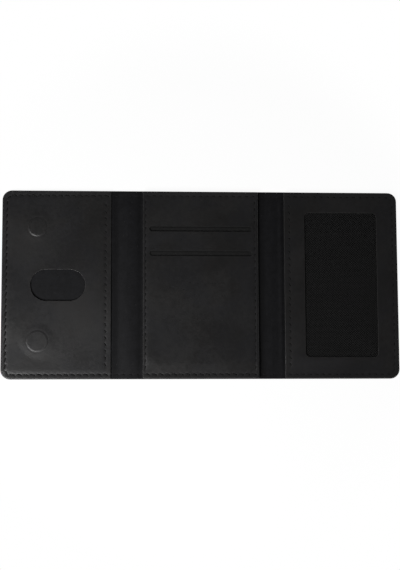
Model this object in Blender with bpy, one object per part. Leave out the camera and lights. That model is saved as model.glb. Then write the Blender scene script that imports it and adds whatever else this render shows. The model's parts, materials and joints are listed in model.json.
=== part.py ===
"""A tri-fold phone card holder in leather, lying open on its outer cover.

Metres, +Z up. The origin is at the middle of the underside, +X runs to the flap with the
window and +Y to the top edge. Five stiff parts meet at four fold lines: the left flap, a narrow
spine, the middle, a second spine and the right flap. The right flap folds over the middle
first, and the left flap, whose spine is wider, folds over both.
"""

import math

import bmesh
import bpy
from mathutils import Matrix, Vector

MM = 0.001

# The open holder
HEIGHT = 104.0 * MM
LEFT_WIDTH = 59.9 * MM
MIDDLE_WIDTH = 64.0 * MM
RIGHT_SPINE = 14.3 * MM
RIGHT_WIDTH = 63.9 * MM
CLOSING_GAP = 0.3 * MM  # between the two flaps when both are folded in
COVER_CORNER = 5.3 * MM
CREASE_GAP = 0.3 * MM  # across a fold line, between the sheets on its two sides

# Sheets, from the outside in
FIT_GAP = 0.05 * MM  # a film of glue, or two sheets that only lie together
COVER_THICK = 0.8 * MM
COVER_EDGE = 0.2 * MM
LINING_THICK = 0.2 * MM
LINING_SETBACK = 0.3 * MM
LEATHER_THICK = 0.6 * MM
LEATHER_SETBACK = 0.4 * MM  # how far the cover shows round the inner leather
LEATHER_EDGE = 0.12 * MM
SQUARE_CORNER = 0.5 * MM
CLOTH_THICK = 0.08 * MM

# The spines, where the loose lining arches a little
ARCH_HEIGHT = 0.45 * MM
ARCH_MARGIN = 2.0 * MM
ARCH_STEPS = 14

# Left flap: a pocket open to its spine, with a thumb slot and two closing magnets
LEFT_POCKET = 0.17 * MM
FACING_THICK = 0.12 * MM
FACING_INSET = 6.4 * MM
FACING_MOUTH = 1.2 * MM
THUMB_FROM_FOLD = 14.2 * MM
THUMB_FROM_END = 15.7 * MM
THUMB_LENGTH = LEFT_WIDTH - THUMB_FROM_FOLD - THUMB_FROM_END
THUMB_WIDTH = 17.3 * MM
THUMB_DROP = 0.6 * MM
THUMB_FACING_GAP = 0.6 * MM
LATCH_DIAMETER = 10.0 * MM
LATCH_THICK = 0.55 * MM
LATCH_FROM_END = 19.8 * MM
LATCH_FROM_FOLD = LEFT_WIDTH - LATCH_FROM_END
LATCH_FROM_EDGE = 20.7 * MM
LATCH_SPREAD = HEIGHT - 2 * LATCH_FROM_EDGE
LATCH_ROOM = 0.25 * MM
BUMP_SLOPE = 2.4 * MM
# The bump's side from its foot to its top: share of the slope outwards, share of the rise
BUMP_SHARES = ((1.0, -0.08), (0.7, 0.06), (0.42, 0.36), (0.2, 0.78), (0.0, 0.96), (-0.3, 1.0))

# Middle: two card slots over a stiff carrier that holds the phone magnets
SLOT_FROM_FOLD = 3.75 * MM
SLOT_LENGTH = MIDDLE_WIDTH - 2 * SLOT_FROM_FOLD
SLOT_HEIGHT = 2.6 * MM
SLOT_SHIFT = 0.1 * MM
SLOT_DEPTH = 21.3 * MM  # from the top edge to the upper slot's middle
SLOT_PITCH = 13.6 * MM
CLOTH_INSET = 4.1 * MM
CLOTH_FOOT = 7.5 * MM
CLOTH_HEM = 4.0 * MM
RING_FROM_FOLD = 5.0 * MM
RING_RADIUS = MIDDLE_WIDTH / 2 - RING_FROM_FOLD
RING_BAND = 4.0 * MM
RING_FROM_EDGE = 7.5 * MM
RING_DEPTH = RING_FROM_EDGE + RING_RADIUS  # from the top edge to the ring's middle
RING_THICK = 0.5 * MM
RING_MAGNETS = 16
RING_SPACING = 0.4 * MM
RING_ROOM = 0.2 * MM
SHIELD_THICK = 0.12 * MM
BAR_WIDTH = 5.0 * MM
BAR_LENGTH = 17.5 * MM
BAR_GAP = 1.45 * MM
BAR_DROP = RING_RADIUS + BAR_GAP + BAR_LENGTH / 2  # from the ring's middle to the bar's
CARRIER_ROOF = 0.15 * MM
CARRIER_INSET_X = 3.7 * MM
CARRIER_INSET_Y = 6.0 * MM
CARRIER_CORNER = 4.0 * MM

# Right flap: a pocket open to its spine, with a net behind its window
WINDOW_FROM_FOLD = 11.5 * MM
WINDOW_FROM_END = 12.0 * MM
WINDOW_FROM_EDGE = 11.8 * MM
WINDOW_WIDTH = RIGHT_WIDTH - WINDOW_FROM_FOLD - WINDOW_FROM_END
WINDOW_HEIGHT = HEIGHT - 2 * WINDOW_FROM_EDGE
WINDOW_CORNER = 2.6 * MM
NET_THICK = 0.15 * MM
NET_MARGIN = 3.6 * MM  # the plain hem that is glued behind the leather
NET_HEM_START = 0.8 * MM
NET_PITCH = 3.0 * MM
NET_STRAND = 0.7 * MM
CARD_ROOM = 0.22 * MM
BOARD_THICK = 0.5 * MM
BOARD_INSET = 4.8 * MM
BOARD_CORNER = 2.5 * MM
BOARD_ROOM = 0.15 * MM

# How a lining rises over a stiff insert, as insets outside the insert's edge
LINING_FOOT = 1.0 * MM
LINING_SHOULDER = 0.1 * MM

# How each inner leather rises from its stitched rim: inset in x, inset in y, share of the rise
LEFT_RISE = ((3.0 * MM, 3.0 * MM), (4.5 * MM, 4.5 * MM), (6.0 * MM, 6.0 * MM))
LEFT_RISE_SHARES = (0.0, 0.75, 1.0)
MIDDLE_RISE = ((2.2 * MM, 2.6 * MM), (3.3 * MM, 5.6 * MM), (4.0 * MM, 7.2 * MM), (5.6 * MM, 9.4 * MM))
MIDDLE_RISE_SHARES = (0.0, 0.8, 0.98, 1.0)
RIGHT_RISE = ((3.0 * MM, 3.0 * MM), (4.2 * MM, 4.2 * MM), (5.4 * MM, 5.4 * MM), (6.8 * MM, 6.8 * MM))
RIGHT_RISE_SHARES = (0.0, 0.75, 0.95, 1.0)
RISE_CORNER = 2.4 * MM

# Roundness
CORNER_STEPS = 6
EDGE_STEPS = 2
RING_STEPS = 64
MAGNET_STEPS = 32
ARC_STEPS = 4
OVERRUN = 2.0 * MM  # how far a cutter reaches past what it cuts
ROUND_END_SHARE = 0.999  # of half a slot's width, so that the two arcs of an end share no point
SHARP_ANGLE = math.radians(35)

# Heights that the sheets add up to
LINING_LOW = COVER_THICK + FIT_GAP
LINING_TOP = LINING_LOW + LINING_THICK
RIM_LOW = LINING_TOP + FIT_GAP
FOLD_HEIGHT = RIM_LOW

FACING_LOW = LINING_TOP + LEFT_POCKET
FACING_TOP = FACING_LOW + FACING_THICK
LEFT_LOW = FACING_TOP + FIT_GAP
LEFT_TOP = LEFT_LOW + LEATHER_THICK
BUMP_LOW = FACING_TOP + FIT_GAP + LATCH_THICK + FIT_GAP
BUMP_TOP = BUMP_LOW + LEATHER_THICK

RING_LOW = LINING_LOW + FIT_GAP
SHIELD_LOW = RING_LOW + RING_THICK + FIT_GAP
CARRIER_CEILING = SHIELD_LOW + SHIELD_THICK + FIT_GAP
CARRIER_TOP = CARRIER_CEILING + CARRIER_ROOF
MIDDLE_LINING_LOW = CARRIER_TOP + FIT_GAP
UPPER_CLOTH_LOW = MIDDLE_LINING_LOW + LINING_THICK + FIT_GAP
LOWER_CLOTH_LOW = UPPER_CLOTH_LOW + CLOTH_THICK + FIT_GAP
MIDDLE_LOW = LOWER_CLOTH_LOW + CLOTH_THICK + 2 * FIT_GAP

RIGHT_LINING_LOW = LINING_LOW + BOARD_THICK + FIT_GAP
NET_LOW = RIGHT_LINING_LOW + LINING_THICK + CARD_ROOM
RIGHT_LOW = NET_LOW + NET_THICK + FIT_GAP

# Fold lines, from left to right. The left spine clears the right flap by the closing gap.
LEFT_SPINE = RIGHT_SPINE + BUMP_TOP + CLOSING_GAP
FULL_WIDTH = LEFT_WIDTH + LEFT_SPINE + MIDDLE_WIDTH + RIGHT_SPINE + RIGHT_WIDTH
LEFT_END = -FULL_WIDTH / 2
LEFT_FLAP_FOLD = LEFT_END + LEFT_WIDTH
LEFT_SPINE_FOLD = LEFT_FLAP_FOLD + LEFT_SPINE
RIGHT_SPINE_FOLD = LEFT_SPINE_FOLD + MIDDLE_WIDTH
RIGHT_FLAP_FOLD = RIGHT_SPINE_FOLD + RIGHT_SPINE
RIGHT_END = RIGHT_FLAP_FOLD + RIGHT_WIDTH

MIDDLE_X = (LEFT_SPINE_FOLD + RIGHT_SPINE_FOLD) / 2
TOP_EDGE = HEIGHT / 2
RING_CENTRE = (MIDDLE_X, TOP_EDGE - RING_DEPTH)
BAR_CENTRE = (MIDDLE_X, TOP_EDGE - RING_DEPTH - BAR_DROP)
THUMB_CENTRE = (LEFT_FLAP_FOLD - THUMB_FROM_FOLD - THUMB_LENGTH / 2, -THUMB_DROP)
WINDOW_CENTRE = (RIGHT_FLAP_FOLD + WINDOW_FROM_FOLD + WINDOW_WIDTH / 2, 0)
LEFT_LATCH_X = LEFT_FLAP_FOLD - LATCH_FROM_FOLD
# Folded in, the left magnets lie over the right ones.
RIGHT_LATCH_X = RIGHT_FLAP_FOLD + MIDDLE_WIDTH - LATCH_FROM_FOLD

# Colour, roughness and metallic value of each finish
FINISHES = {
    "outer_leather": ((0.016, 0.015, 0.015), 0.50, 0.0),
    "inner_leather": ((0.022, 0.021, 0.021), 0.45, 0.0),
    "lining_cloth": ((0.013, 0.013, 0.015), 0.85, 0.0),
    "facing_cloth": ((0.012, 0.012, 0.013), 0.85, 0.0),
    "pocket_cloth": ((0.010, 0.010, 0.011), 0.80, 0.0),
    "net": ((0.008, 0.008, 0.008), 0.60, 0.0),
    "carrier_plastic": ((0.020, 0.020, 0.020), 0.55, 0.0),
    "board": ((0.045, 0.043, 0.040), 0.75, 0.0),
    "magnet": ((0.55, 0.55, 0.56), 0.28, 1.0),
    "steel": ((0.50, 0.50, 0.50), 0.35, 1.0),
}


def clear_scene():
    for item in list(bpy.data.objects):
        bpy.data.objects.remove(item, do_unlink=True)


def finish_material(name, finish):
    """A material of the piece's own, in one of the finishes."""
    colour, roughness, metallic = FINISHES[finish]
    material = bpy.data.materials.new(name)
    material.use_nodes = True
    shader = material.node_tree.nodes["Principled BSDF"]
    shader.inputs["Base Color"].default_value = (*colour, 1.0)
    shader.inputs["Roughness"].default_value = roughness
    shader.inputs["Metallic"].default_value = metallic
    return material


def place(name, mesh, finish, hinge, smooth=True):
    """Puts a mesh into the scene as a named piece that hangs on a hinge's empty."""
    if smooth:
        mesh.shade_smooth()
        mesh.set_sharp_from_angle(angle=SHARP_ANGLE)
    piece = bpy.data.objects.new(name, mesh)
    bpy.context.scene.collection.objects.link(piece)
    if not mesh.materials:
        mesh.materials.append(finish_material(name, finish))
    hang(piece, hinge)
    return piece


def hang(piece, hinge):
    """Parents a piece to an empty and leaves it where it is."""
    if hinge is None:
        return
    bpy.context.view_layer.update()
    piece.parent = hinge
    piece.matrix_parent_inverse = hinge.matrix_world.inverted()


def fold_empty(name, x, parent):
    """An empty on a fold line. The sheets below it swing apart as the holder closes."""
    empty = bpy.data.objects.new(name, None)
    empty.location = (x, 0, FOLD_HEIGHT)
    empty.empty_display_size = HEIGHT / 10
    bpy.context.scene.collection.objects.link(empty)
    hang(empty, parent)
    return empty


def ring(panel, inset_x, inset_y, corners, height):
    """The points of a rounded rectangle inside a panel, anticlockwise from its lower left corner.

    A corner of radius zero is a single point.
    """
    x_low, x_high, y_low, y_high = panel
    left, right = x_low + inset_x, x_high - inset_x
    bottom, top = y_low + inset_y, y_high - inset_y
    places = ((left, bottom, 1, 1), (right, bottom, -1, 1), (right, top, -1, -1), (left, top, 1, -1))
    points = []
    for quarter, ((x, y, to_x, to_y), radius) in enumerate(zip(places, corners)):
        if radius == 0:
            points.append(Vector((x, y, height)))
            continue
        for step in range(CORNER_STEPS + 1):
            angle = math.radians(180 + 90 * quarter) + math.radians(90) * step / CORNER_STEPS
            centre = Vector((x + to_x * radius, y + to_y * radius, height))
            points.append(centre + radius * Vector((math.cos(angle), math.sin(angle), 0)))
    return points


def loft(name, rings):
    """A closed mesh through rings of equally many points, from the lowest inner one round."""
    mesh_maker = bmesh.new()
    loops = [[mesh_maker.verts.new(point) for point in points] for points in rings]
    for below, above in zip(loops, loops[1:]):
        for i, vert in enumerate(below):
            j = (i + 1) % len(below)
            mesh_maker.faces.new((vert, below[j], above[j], above[i]))
    mesh_maker.faces.new(list(reversed(loops[0])))
    mesh_maker.faces.new(loops[-1])
    bmesh.ops.recalc_face_normals(mesh_maker, faces=mesh_maker.faces)
    mesh = bpy.data.meshes.new(name)
    mesh_maker.to_mesh(mesh)
    mesh_maker.free()
    return mesh


def shrunk(corners, inset):
    """Corner radii of an inset outline. A square corner stays square, and a round one round."""
    return [max(radius - inset, radius / 10) for radius in corners]


def plate_rings(panel, corners, low, high, edge):
    """The rings of a flat plate whose long edges are rounded."""
    rings = []
    for step in range(EDGE_STEPS + 1):
        angle = math.radians(90) * step / EDGE_STEPS
        inset = edge * (1 - math.sin(angle))
        rings.append((inset, low + edge * (1 - math.cos(angle))))
    rings += [(inset, low + high - height) for inset, height in reversed(rings)]
    return [ring(panel, inset, inset, shrunk(corners, inset), height) for inset, height in rings]


def block(name, panel, corners, low, high):
    """A plain upright prism over a rounded rectangle."""
    return loft(name, [ring(panel, 0, 0, corners, low), ring(panel, 0, 0, corners, high)])


def stadium(name, centre, length, width, low, high):
    """An upright prism with round ends, for a slot."""
    x, y = centre
    panel = (x - length / 2, x + length / 2, y - width / 2, y + width / 2)
    return block(name, panel, [ROUND_END_SHARE * width / 2] * 4, low, high)


def disc(name, centre, radius, low, high, steps):
    """An upright cylinder."""
    mesh_maker = bmesh.new()
    middle = Vector((*centre, (low + high) / 2))
    bmesh.ops.create_cone(
        mesh_maker, cap_ends=True, segments=steps, radius1=radius, radius2=radius,
        depth=high - low, matrix=Matrix.Translation(middle),
    )
    mesh = bpy.data.meshes.new(name)
    mesh_maker.to_mesh(mesh)
    mesh_maker.free()
    return mesh


def turned(name, centre, profile, steps):
    """A solid spun round an upright axis from a profile of radius and height, lowest first."""
    rings = []
    for radius, height in profile:
        turns = (2 * math.pi * step / steps for step in range(steps))
        rings.append([
            Vector((centre[0] + radius * math.cos(t), centre[1] + radius * math.sin(t), height))
            for t in turns
        ])
    return loft(name, rings)


def helper(name, mesh, hinge):
    """A cutter or an added form. It shapes other pieces and isn't one itself."""
    shape = bpy.data.objects.new(name, mesh)
    shape.hide_render = True
    shape.display_type = "WIRE"
    bpy.context.scene.collection.objects.link(shape)
    hang(shape, hinge)
    return shape


def shape_by(piece, shape, operation="DIFFERENCE"):
    boolean = piece.modifiers.new(shape.name, "BOOLEAN")
    boolean.operation = operation
    boolean.solver = "EXACT"
    boolean.object = shape


def cover(name, x_low, x_high, corners, hinge):
    """One stretch of the outer cover, between two fold lines."""
    panel = (x_low, x_high, -TOP_EDGE, TOP_EDGE)
    mesh = loft(name, plate_rings(panel, corners, 0, COVER_THICK, COVER_EDGE))
    return place(name, mesh, "outer_leather", hinge)


def flat_lining(name, x_low, x_high, corners, hinge):
    """Lining cloth that lies flat on the cover."""
    panel = (x_low, x_high, -TOP_EDGE + LINING_SETBACK, TOP_EDGE - LINING_SETBACK)
    return place(name, block(name, panel, corners, LINING_LOW, LINING_TOP), "lining_cloth", hinge)


def arched_lining(name, x_low, x_high, hinge):
    """Lining cloth over a spine. It is cut a little long, so that the spine can fold, and arches."""
    span = x_high - x_low - 2 * ARCH_MARGIN
    stations = [x_low] + [x_low + ARCH_MARGIN + span * i / ARCH_STEPS for i in range(ARCH_STEPS + 1)]
    stations.append(x_high)

    def lift(x):
        along = min(max((x - x_low - ARCH_MARGIN) / span, 0), 1)
        return ARCH_HEIGHT * (1 - math.cos(2 * math.pi * along)) / 2

    under = [(x, LINING_LOW + lift(x)) for x in stations]
    over = [(x, LINING_TOP + lift(x)) for x in reversed(stations)]
    ends = (-TOP_EDGE + LINING_SETBACK, TOP_EDGE - LINING_SETBACK)
    rings = [[Vector((x, y, z)) for x, z in under + over] for y in ends]
    return place(name, loft(name, rings), "lining_cloth", hinge)


def draped_lining(name, x_low, x_high, corners, insert, plateau, hinge):
    """Lining cloth that lies on the cover round a stiff insert and rises over it."""
    panel = (x_low, x_high, -TOP_EDGE + LINING_SETBACK, TOP_EDGE - LINING_SETBACK)
    inset_x, inset_y, corner = insert
    rings = []
    for outside, low in ((LINING_SHOULDER, plateau), (LINING_FOOT, LINING_LOW)):
        dx, dy = inset_x - outside, inset_y - outside - LINING_SETBACK
        rings.append((dx, dy, [corner + outside] * 4, low))
    rings.append((0, 0, corners, LINING_LOW))
    under = [ring(panel, dx, dy, radii, low) for dx, dy, radii, low in rings]
    over = [ring(panel, dx, dy, radii, low + LINING_THICK) for dx, dy, radii, low in reversed(rings)]
    return place(name, loft(name, under + over), "lining_cloth", hinge)


def rising_leather(name, panel, corners, rise, shares, plateau, hinge):
    """Inner leather with a flat stitched rim, rising to a plateau over what it covers."""
    x_low, x_high, y_low, y_high = panel
    levels = [(0, 0, corners, RIM_LOW)]
    for (inset_x, inset_y), share in zip(rise, shares):
        height = RIM_LOW + share * (plateau - RIM_LOW)
        levels.append((inset_x, inset_y, [RISE_CORNER] * 4, height))
    under = [ring(panel, dx, dy, radii, low) for dx, dy, radii, low in reversed(levels)]
    rim_top = RIM_LOW + LEATHER_THICK
    edge = [
        ring(panel, 0, 0, corners, rim_top - LEATHER_EDGE),
        ring(panel, LEATHER_EDGE, LEATHER_EDGE, shrunk(corners, LEATHER_EDGE), rim_top),
    ]
    over = [ring(panel, dx, dy, radii, low + LEATHER_THICK) for dx, dy, radii, low in levels[1:]]
    return place(name, loft(name, under + edge + over), "inner_leather", hinge)


def make_left_flap(hinge):
    """The outermost flap: cover, lining, a pocket front with a thumb slot and two magnets."""
    seam = LEFT_FLAP_FOLD - CREASE_GAP / 2
    lining_corner = COVER_CORNER - LINING_SETBACK
    leather_corner = COVER_CORNER - LEATHER_SETBACK
    cover("cover_left", LEFT_END, seam, (COVER_CORNER, 0, 0, COVER_CORNER), hinge)
    flat_lining("lining_left", LEFT_END + LINING_SETBACK, seam, (lining_corner, 0, 0, lining_corner), hinge)
    panel = (
        LEFT_END + LEATHER_SETBACK, LEFT_FLAP_FOLD + LEFT_RISE[-1][0] + OVERRUN,
        -TOP_EDGE + LEATHER_SETBACK, TOP_EDGE - LEATHER_SETBACK,
    )
    front = rising_leather(
        "leather_left", panel, [leather_corner] * 4, LEFT_RISE, LEFT_RISE_SHARES, LEFT_LOW, hinge
    )
    high = BUMP_TOP + OVERRUN
    cut_mouth(front, "left_mouth_cut", seam, panel[1] + OVERRUN, high, hinge)
    thumb = stadium("thumb_cut", THUMB_CENTRE, THUMB_LENGTH, THUMB_WIDTH, 0, high)
    shape_by(front, helper("thumb_cut", thumb, hinge))
    facing = make_facing(hinge)
    grown = 2 * THUMB_FACING_GAP
    hole = stadium("facing_cut", THUMB_CENTRE, THUMB_LENGTH + grown, THUMB_WIDTH + grown, 0, high)
    shape_by(facing, helper("facing_cut", hole, hinge))
    for side, y in (("upper", LATCH_SPREAD / 2), ("lower", -LATCH_SPREAD / 2)):
        add_left_latch(front, side, (LEFT_LATCH_X, y), hinge)


def cut_mouth(leather, name, x_low, x_high, high, hinge):
    """Ends a pocket's leather on its plateau, so that the pocket stays open on that side."""
    panel = (x_low, x_high, -TOP_EDGE - OVERRUN, TOP_EDGE + OVERRUN)
    shape_by(leather, helper(name, block(name, panel, (0, 0, 0, 0), 0, high), hinge))


def make_facing(hinge):
    """The cloth behind the left pocket front, which keeps the magnets in place."""
    panel = (
        LEFT_END + LEATHER_SETBACK + FACING_INSET, LEFT_FLAP_FOLD - FACING_MOUTH,
        -TOP_EDGE + LEATHER_SETBACK + FACING_INSET, TOP_EDGE - LEATHER_SETBACK - FACING_INSET,
    )
    mesh = block("facing_left", panel, (RISE_CORNER, 0, 0, RISE_CORNER), FACING_LOW, FACING_TOP)
    return place("facing_left", mesh, "facing_cloth", hinge)


def add_left_latch(front, side, centre, hinge):
    """One closing magnet, with the round bump that it presses up in the leather."""
    radius = LATCH_DIAMETER / 2
    flat = radius + LATCH_ROOM
    rise = BUMP_TOP - LEFT_TOP
    profile = [(flat + BUMP_SLOPE, LEFT_LOW + LEATHER_THICK / 2)]
    for share_out, share_up in BUMP_SHARES:
        profile.append((flat + share_out * BUMP_SLOPE, LEFT_TOP + share_up * rise))
    bump = helper(f"bump_{side}", turned(f"bump_{side}", centre, profile, MAGNET_STEPS), hinge)
    shape_by(front, bump, "UNION")
    room = disc(f"bump_cut_{side}", centre, flat, FACING_LOW, BUMP_LOW, MAGNET_STEPS)
    shape_by(front, helper(f"bump_cut_{side}", room, hinge))
    low = FACING_TOP + FIT_GAP
    name = f"latch_magnet_left_{side}"
    place(name, disc(name, centre, radius, low, low + LATCH_THICK, MAGNET_STEPS), "magnet", hinge)


def make_middle():
    """The middle part: cover, magnet carrier, lining, two pocket cloths and the slotted leather."""
    left, right = LEFT_SPINE_FOLD + CREASE_GAP / 2, RIGHT_SPINE_FOLD - CREASE_GAP / 2
    cover("cover_middle", left, right, (0, 0, 0, 0), None)
    make_carrier()
    make_ring()
    inset_x = CARRIER_INSET_X - CREASE_GAP / 2
    insert = (inset_x, CARRIER_INSET_Y, CARRIER_CORNER)
    draped_lining("lining_middle", left, right, [SQUARE_CORNER] * 4, insert, MIDDLE_LINING_LOW, None)
    slots = [(MIDDLE_X + SLOT_SHIFT, TOP_EDGE - SLOT_DEPTH - i * SLOT_PITCH) for i in range(2)]
    lows = (UPPER_CLOTH_LOW, LOWER_CLOTH_LOW)
    for name, low, slot in zip(("pocket_cloth_upper", "pocket_cloth_lower"), lows, slots):
        foot, head = -TOP_EDGE + CLOTH_FOOT, slot[1] + SLOT_HEIGHT / 2 + CLOTH_HEM
        panel = (LEFT_SPINE_FOLD + CLOTH_INSET, RIGHT_SPINE_FOLD - CLOTH_INSET, foot, head)
        corners = (RISE_CORNER, RISE_CORNER, 0, 0)
        place(name, block(name, panel, corners, low, low + CLOTH_THICK), "pocket_cloth", None)
    panel = (left, right, -TOP_EDGE + LEATHER_SETBACK, TOP_EDGE - LEATHER_SETBACK)
    front = rising_leather(
        "leather_middle", panel, [SQUARE_CORNER] * 4, MIDDLE_RISE, MIDDLE_RISE_SHARES, MIDDLE_LOW, None
    )
    for name, slot in zip(("slot_cut_upper", "slot_cut_lower"), slots):
        high = MIDDLE_LOW + LEATHER_THICK + OVERRUN
        shape_by(front, helper(name, stadium(name, slot, SLOT_LENGTH, SLOT_HEIGHT, 0, high), None))


def make_carrier():
    """The stiff insert, with a groove for the magnet ring and a slot for the bar, open to the cover."""
    panel = (
        LEFT_SPINE_FOLD + CARRIER_INSET_X, RIGHT_SPINE_FOLD - CARRIER_INSET_X,
        -TOP_EDGE + CARRIER_INSET_Y, TOP_EDGE - CARRIER_INSET_Y,
    )
    mesh = block("magnet_carrier", panel, [CARRIER_CORNER] * 4, LINING_LOW, CARRIER_TOP)
    carrier = place("magnet_carrier", mesh, "carrier_plastic", None)
    inner, outer = RING_RADIUS - RING_BAND - RING_ROOM, RING_RADIUS + RING_ROOM
    groove = annulus("ring_groove", RING_CENTRE, inner, outer, 0, CARRIER_CEILING)
    shape_by(carrier, helper("ring_groove", groove, None))
    x, y = BAR_CENTRE
    half_x, half_y = BAR_WIDTH / 2 + RING_ROOM, BAR_LENGTH / 2 + RING_ROOM
    panel = (x - half_x, x + half_x, y - half_y, y + half_y)
    slot = block("bar_slot", panel, (0, 0, 0, 0), 0, CARRIER_CEILING)
    shape_by(carrier, helper("bar_slot", slot, None))


def annulus(name, centre, inner, outer, low, high):
    """A flat ring with square edges."""
    mesh_maker = bmesh.new()
    loops = []
    for radius, height in ((inner, low), (outer, low), (outer, high), (inner, high)):
        loop = []
        for step in range(RING_STEPS):
            turn = 2 * math.pi * step / RING_STEPS
            x, y = centre[0] + radius * math.cos(turn), centre[1] + radius * math.sin(turn)
            loop.append(mesh_maker.verts.new((x, y, height)))
        loops.append(loop)
    for loop, after in zip(loops, loops[1:] + loops[:1]):
        for i, vert in enumerate(loop):
            j = (i + 1) % RING_STEPS
            mesh_maker.faces.new((vert, loop[j], after[j], after[i]))
    bmesh.ops.recalc_face_normals(mesh_maker, faces=mesh_maker.faces)
    mesh = bpy.data.meshes.new(name)
    mesh_maker.to_mesh(mesh)
    mesh_maker.free()
    return mesh


def make_ring():
    """The ring of arc magnets with its steel shield, and the bar that keeps the holder upright."""
    inner = RING_RADIUS - RING_BAND
    shield = annulus("shield_ring", RING_CENTRE, inner, RING_RADIUS, SHIELD_LOW, SHIELD_LOW + SHIELD_THICK)
    place("shield_ring", shield, "steel", None)
    arc = arc_magnet("ring_magnet", inner, RING_RADIUS)
    arc.materials.append(finish_material("ring_magnet", "magnet"))
    for i in range(RING_MAGNETS):
        magnet = place(f"ring_magnet_{i + 1:02d}", arc, "magnet", None)
        magnet.location = (*RING_CENTRE, RING_LOW)
        magnet.rotation_euler = (0, 0, 2 * math.pi * i / RING_MAGNETS)
    x, y = BAR_CENTRE
    panel = (x - BAR_WIDTH / 2, x + BAR_WIDTH / 2, y - BAR_LENGTH / 2, y + BAR_LENGTH / 2)
    bar = block("alignment_magnet", panel, (0, 0, 0, 0), RING_LOW, RING_LOW + RING_THICK)
    place("alignment_magnet", bar, "magnet", None, smooth=False)


def arc_magnet(name, inner, outer):
    """One magnet of the ring, about the ring's own middle and standing on its lower face."""
    reach = math.pi / RING_MAGNETS - RING_SPACING / (inner + outer)
    turns = [reach * (2 * step / ARC_STEPS - 1) for step in range(ARC_STEPS + 1)]
    outline = [(outer * math.cos(t), outer * math.sin(t)) for t in turns]
    outline += [(inner * math.cos(t), inner * math.sin(t)) for t in reversed(turns)]
    return loft(name, [[Vector((x, y, z)) for x, y in outline] for z in (0, RING_THICK)])


def make_right_flap(hinge):
    """The inner flap: cover, board with two magnets, lining, net and the leather round the window."""
    seam = RIGHT_FLAP_FOLD + CREASE_GAP / 2
    lining_corner = COVER_CORNER - LINING_SETBACK
    leather_corner = COVER_CORNER - LEATHER_SETBACK
    cover("cover_right", seam, RIGHT_END, (0, COVER_CORNER, COVER_CORNER, 0), hinge)
    make_board(hinge)
    insert = (BOARD_INSET - LINING_SETBACK, BOARD_INSET, BOARD_CORNER)
    corners = (SQUARE_CORNER, lining_corner, lining_corner, SQUARE_CORNER)
    draped_lining(
        "lining_right", seam, RIGHT_END - LINING_SETBACK, corners, insert, RIGHT_LINING_LOW, hinge
    )
    make_net(hinge)
    panel = (
        RIGHT_FLAP_FOLD - RIGHT_RISE[-1][0] - OVERRUN, RIGHT_END - LEATHER_SETBACK,
        -TOP_EDGE + LEATHER_SETBACK, TOP_EDGE - LEATHER_SETBACK,
    )
    frame = rising_leather(
        "leather_right", panel, [leather_corner] * 4, RIGHT_RISE, RIGHT_RISE_SHARES, RIGHT_LOW, hinge
    )
    high = RIGHT_LOW + LEATHER_THICK + OVERRUN
    cut_mouth(frame, "right_mouth_cut", panel[0] - OVERRUN, seam, high, hinge)
    window = block("window_cut", window_panel(0), [WINDOW_CORNER] * 4, 0, high)
    shape_by(frame, helper("window_cut", window, hinge))


def window_panel(margin):
    """The window's rectangle, grown by a margin."""
    x, y = WINDOW_CENTRE
    half_x, half_y = WINDOW_WIDTH / 2 + margin, WINDOW_HEIGHT / 2 + margin
    return (x - half_x, x + half_x, y - half_y, y + half_y)


def make_board(hinge):
    """The thin board in the right flap, with a hole for each of its two magnets."""
    panel = (
        RIGHT_FLAP_FOLD + BOARD_INSET, RIGHT_END - BOARD_INSET,
        -TOP_EDGE + BOARD_INSET, TOP_EDGE - BOARD_INSET,
    )
    high = LINING_LOW + BOARD_THICK
    mesh = block("board_right", panel, [BOARD_CORNER] * 4, LINING_LOW, high)
    board = place("board_right", mesh, "board", hinge)
    for side, y in (("upper", LATCH_SPREAD / 2), ("lower", -LATCH_SPREAD / 2)):
        centre = (RIGHT_LATCH_X, y)
        radius = LATCH_DIAMETER / 2
        hole = disc(f"board_cut_{side}", centre, radius + BOARD_ROOM, 0, high + OVERRUN, MAGNET_STEPS)
        shape_by(board, helper(f"board_cut_{side}", hole, hinge))
        name = f"latch_magnet_right_{side}"
        place(name, disc(name, centre, radius, LINING_LOW, high, MAGNET_STEPS), "magnet", hinge)


def net_grid():
    """The net's field in the window: its corner, how many cells it has and how large they are.

    The counts are even, so that strands cross at all four corners.
    """
    x_low, x_high, y_low, y_high = window_panel(NET_HEM_START)
    across = 2 * max(round((x_high - x_low) / (2 * NET_PITCH)), 1)
    along = 2 * max(round((y_high - y_low) / (2 * NET_PITCH)), 1)
    return (x_low, y_low), (across, along), ((x_high - x_low) / across, (y_high - y_low) / along)


def make_net(hinge):
    """The net behind the window: strands along both diagonals, with a plain hem round them."""
    corner, (across, along), (step_x, step_y) = net_grid()
    reach = NET_STRAND / math.sqrt(2)
    mesh_maker = bmesh.new()
    known = {}

    def vert(i, j, to_x, to_y):
        """The corner of the crossing at i, j that lies on its given side, or the crossing itself."""
        key = (i, j, to_x, to_y)
        if key not in known:
            x = corner[0] + i * step_x + to_x * reach
            y = corner[1] + j * step_y + to_y * reach
            known[key] = mesh_maker.verts.new((x, y, NET_LOW))
        return known[key]

    for i in range(across + 1):
        for j in range(along + 1):
            if (i + j) % 2 == 0:
                add_crossing(mesh_maker, vert, i, j, across, along)
    for i in range(across):
        for j in range(along):
            add_strand(mesh_maker, vert, i, j)
    add_hem(mesh_maker, vert, across, along)
    bmesh.ops.recalc_face_normals(mesh_maker, faces=mesh_maker.faces)
    mesh = bpy.data.meshes.new("window_net")
    mesh_maker.to_mesh(mesh)
    mesh_maker.free()
    net = place("window_net", mesh, "net", hinge, smooth=False)
    solid = net.modifiers.new("thickness", "SOLIDIFY")
    solid.thickness = NET_THICK
    solid.offset = 1
    return net


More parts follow.
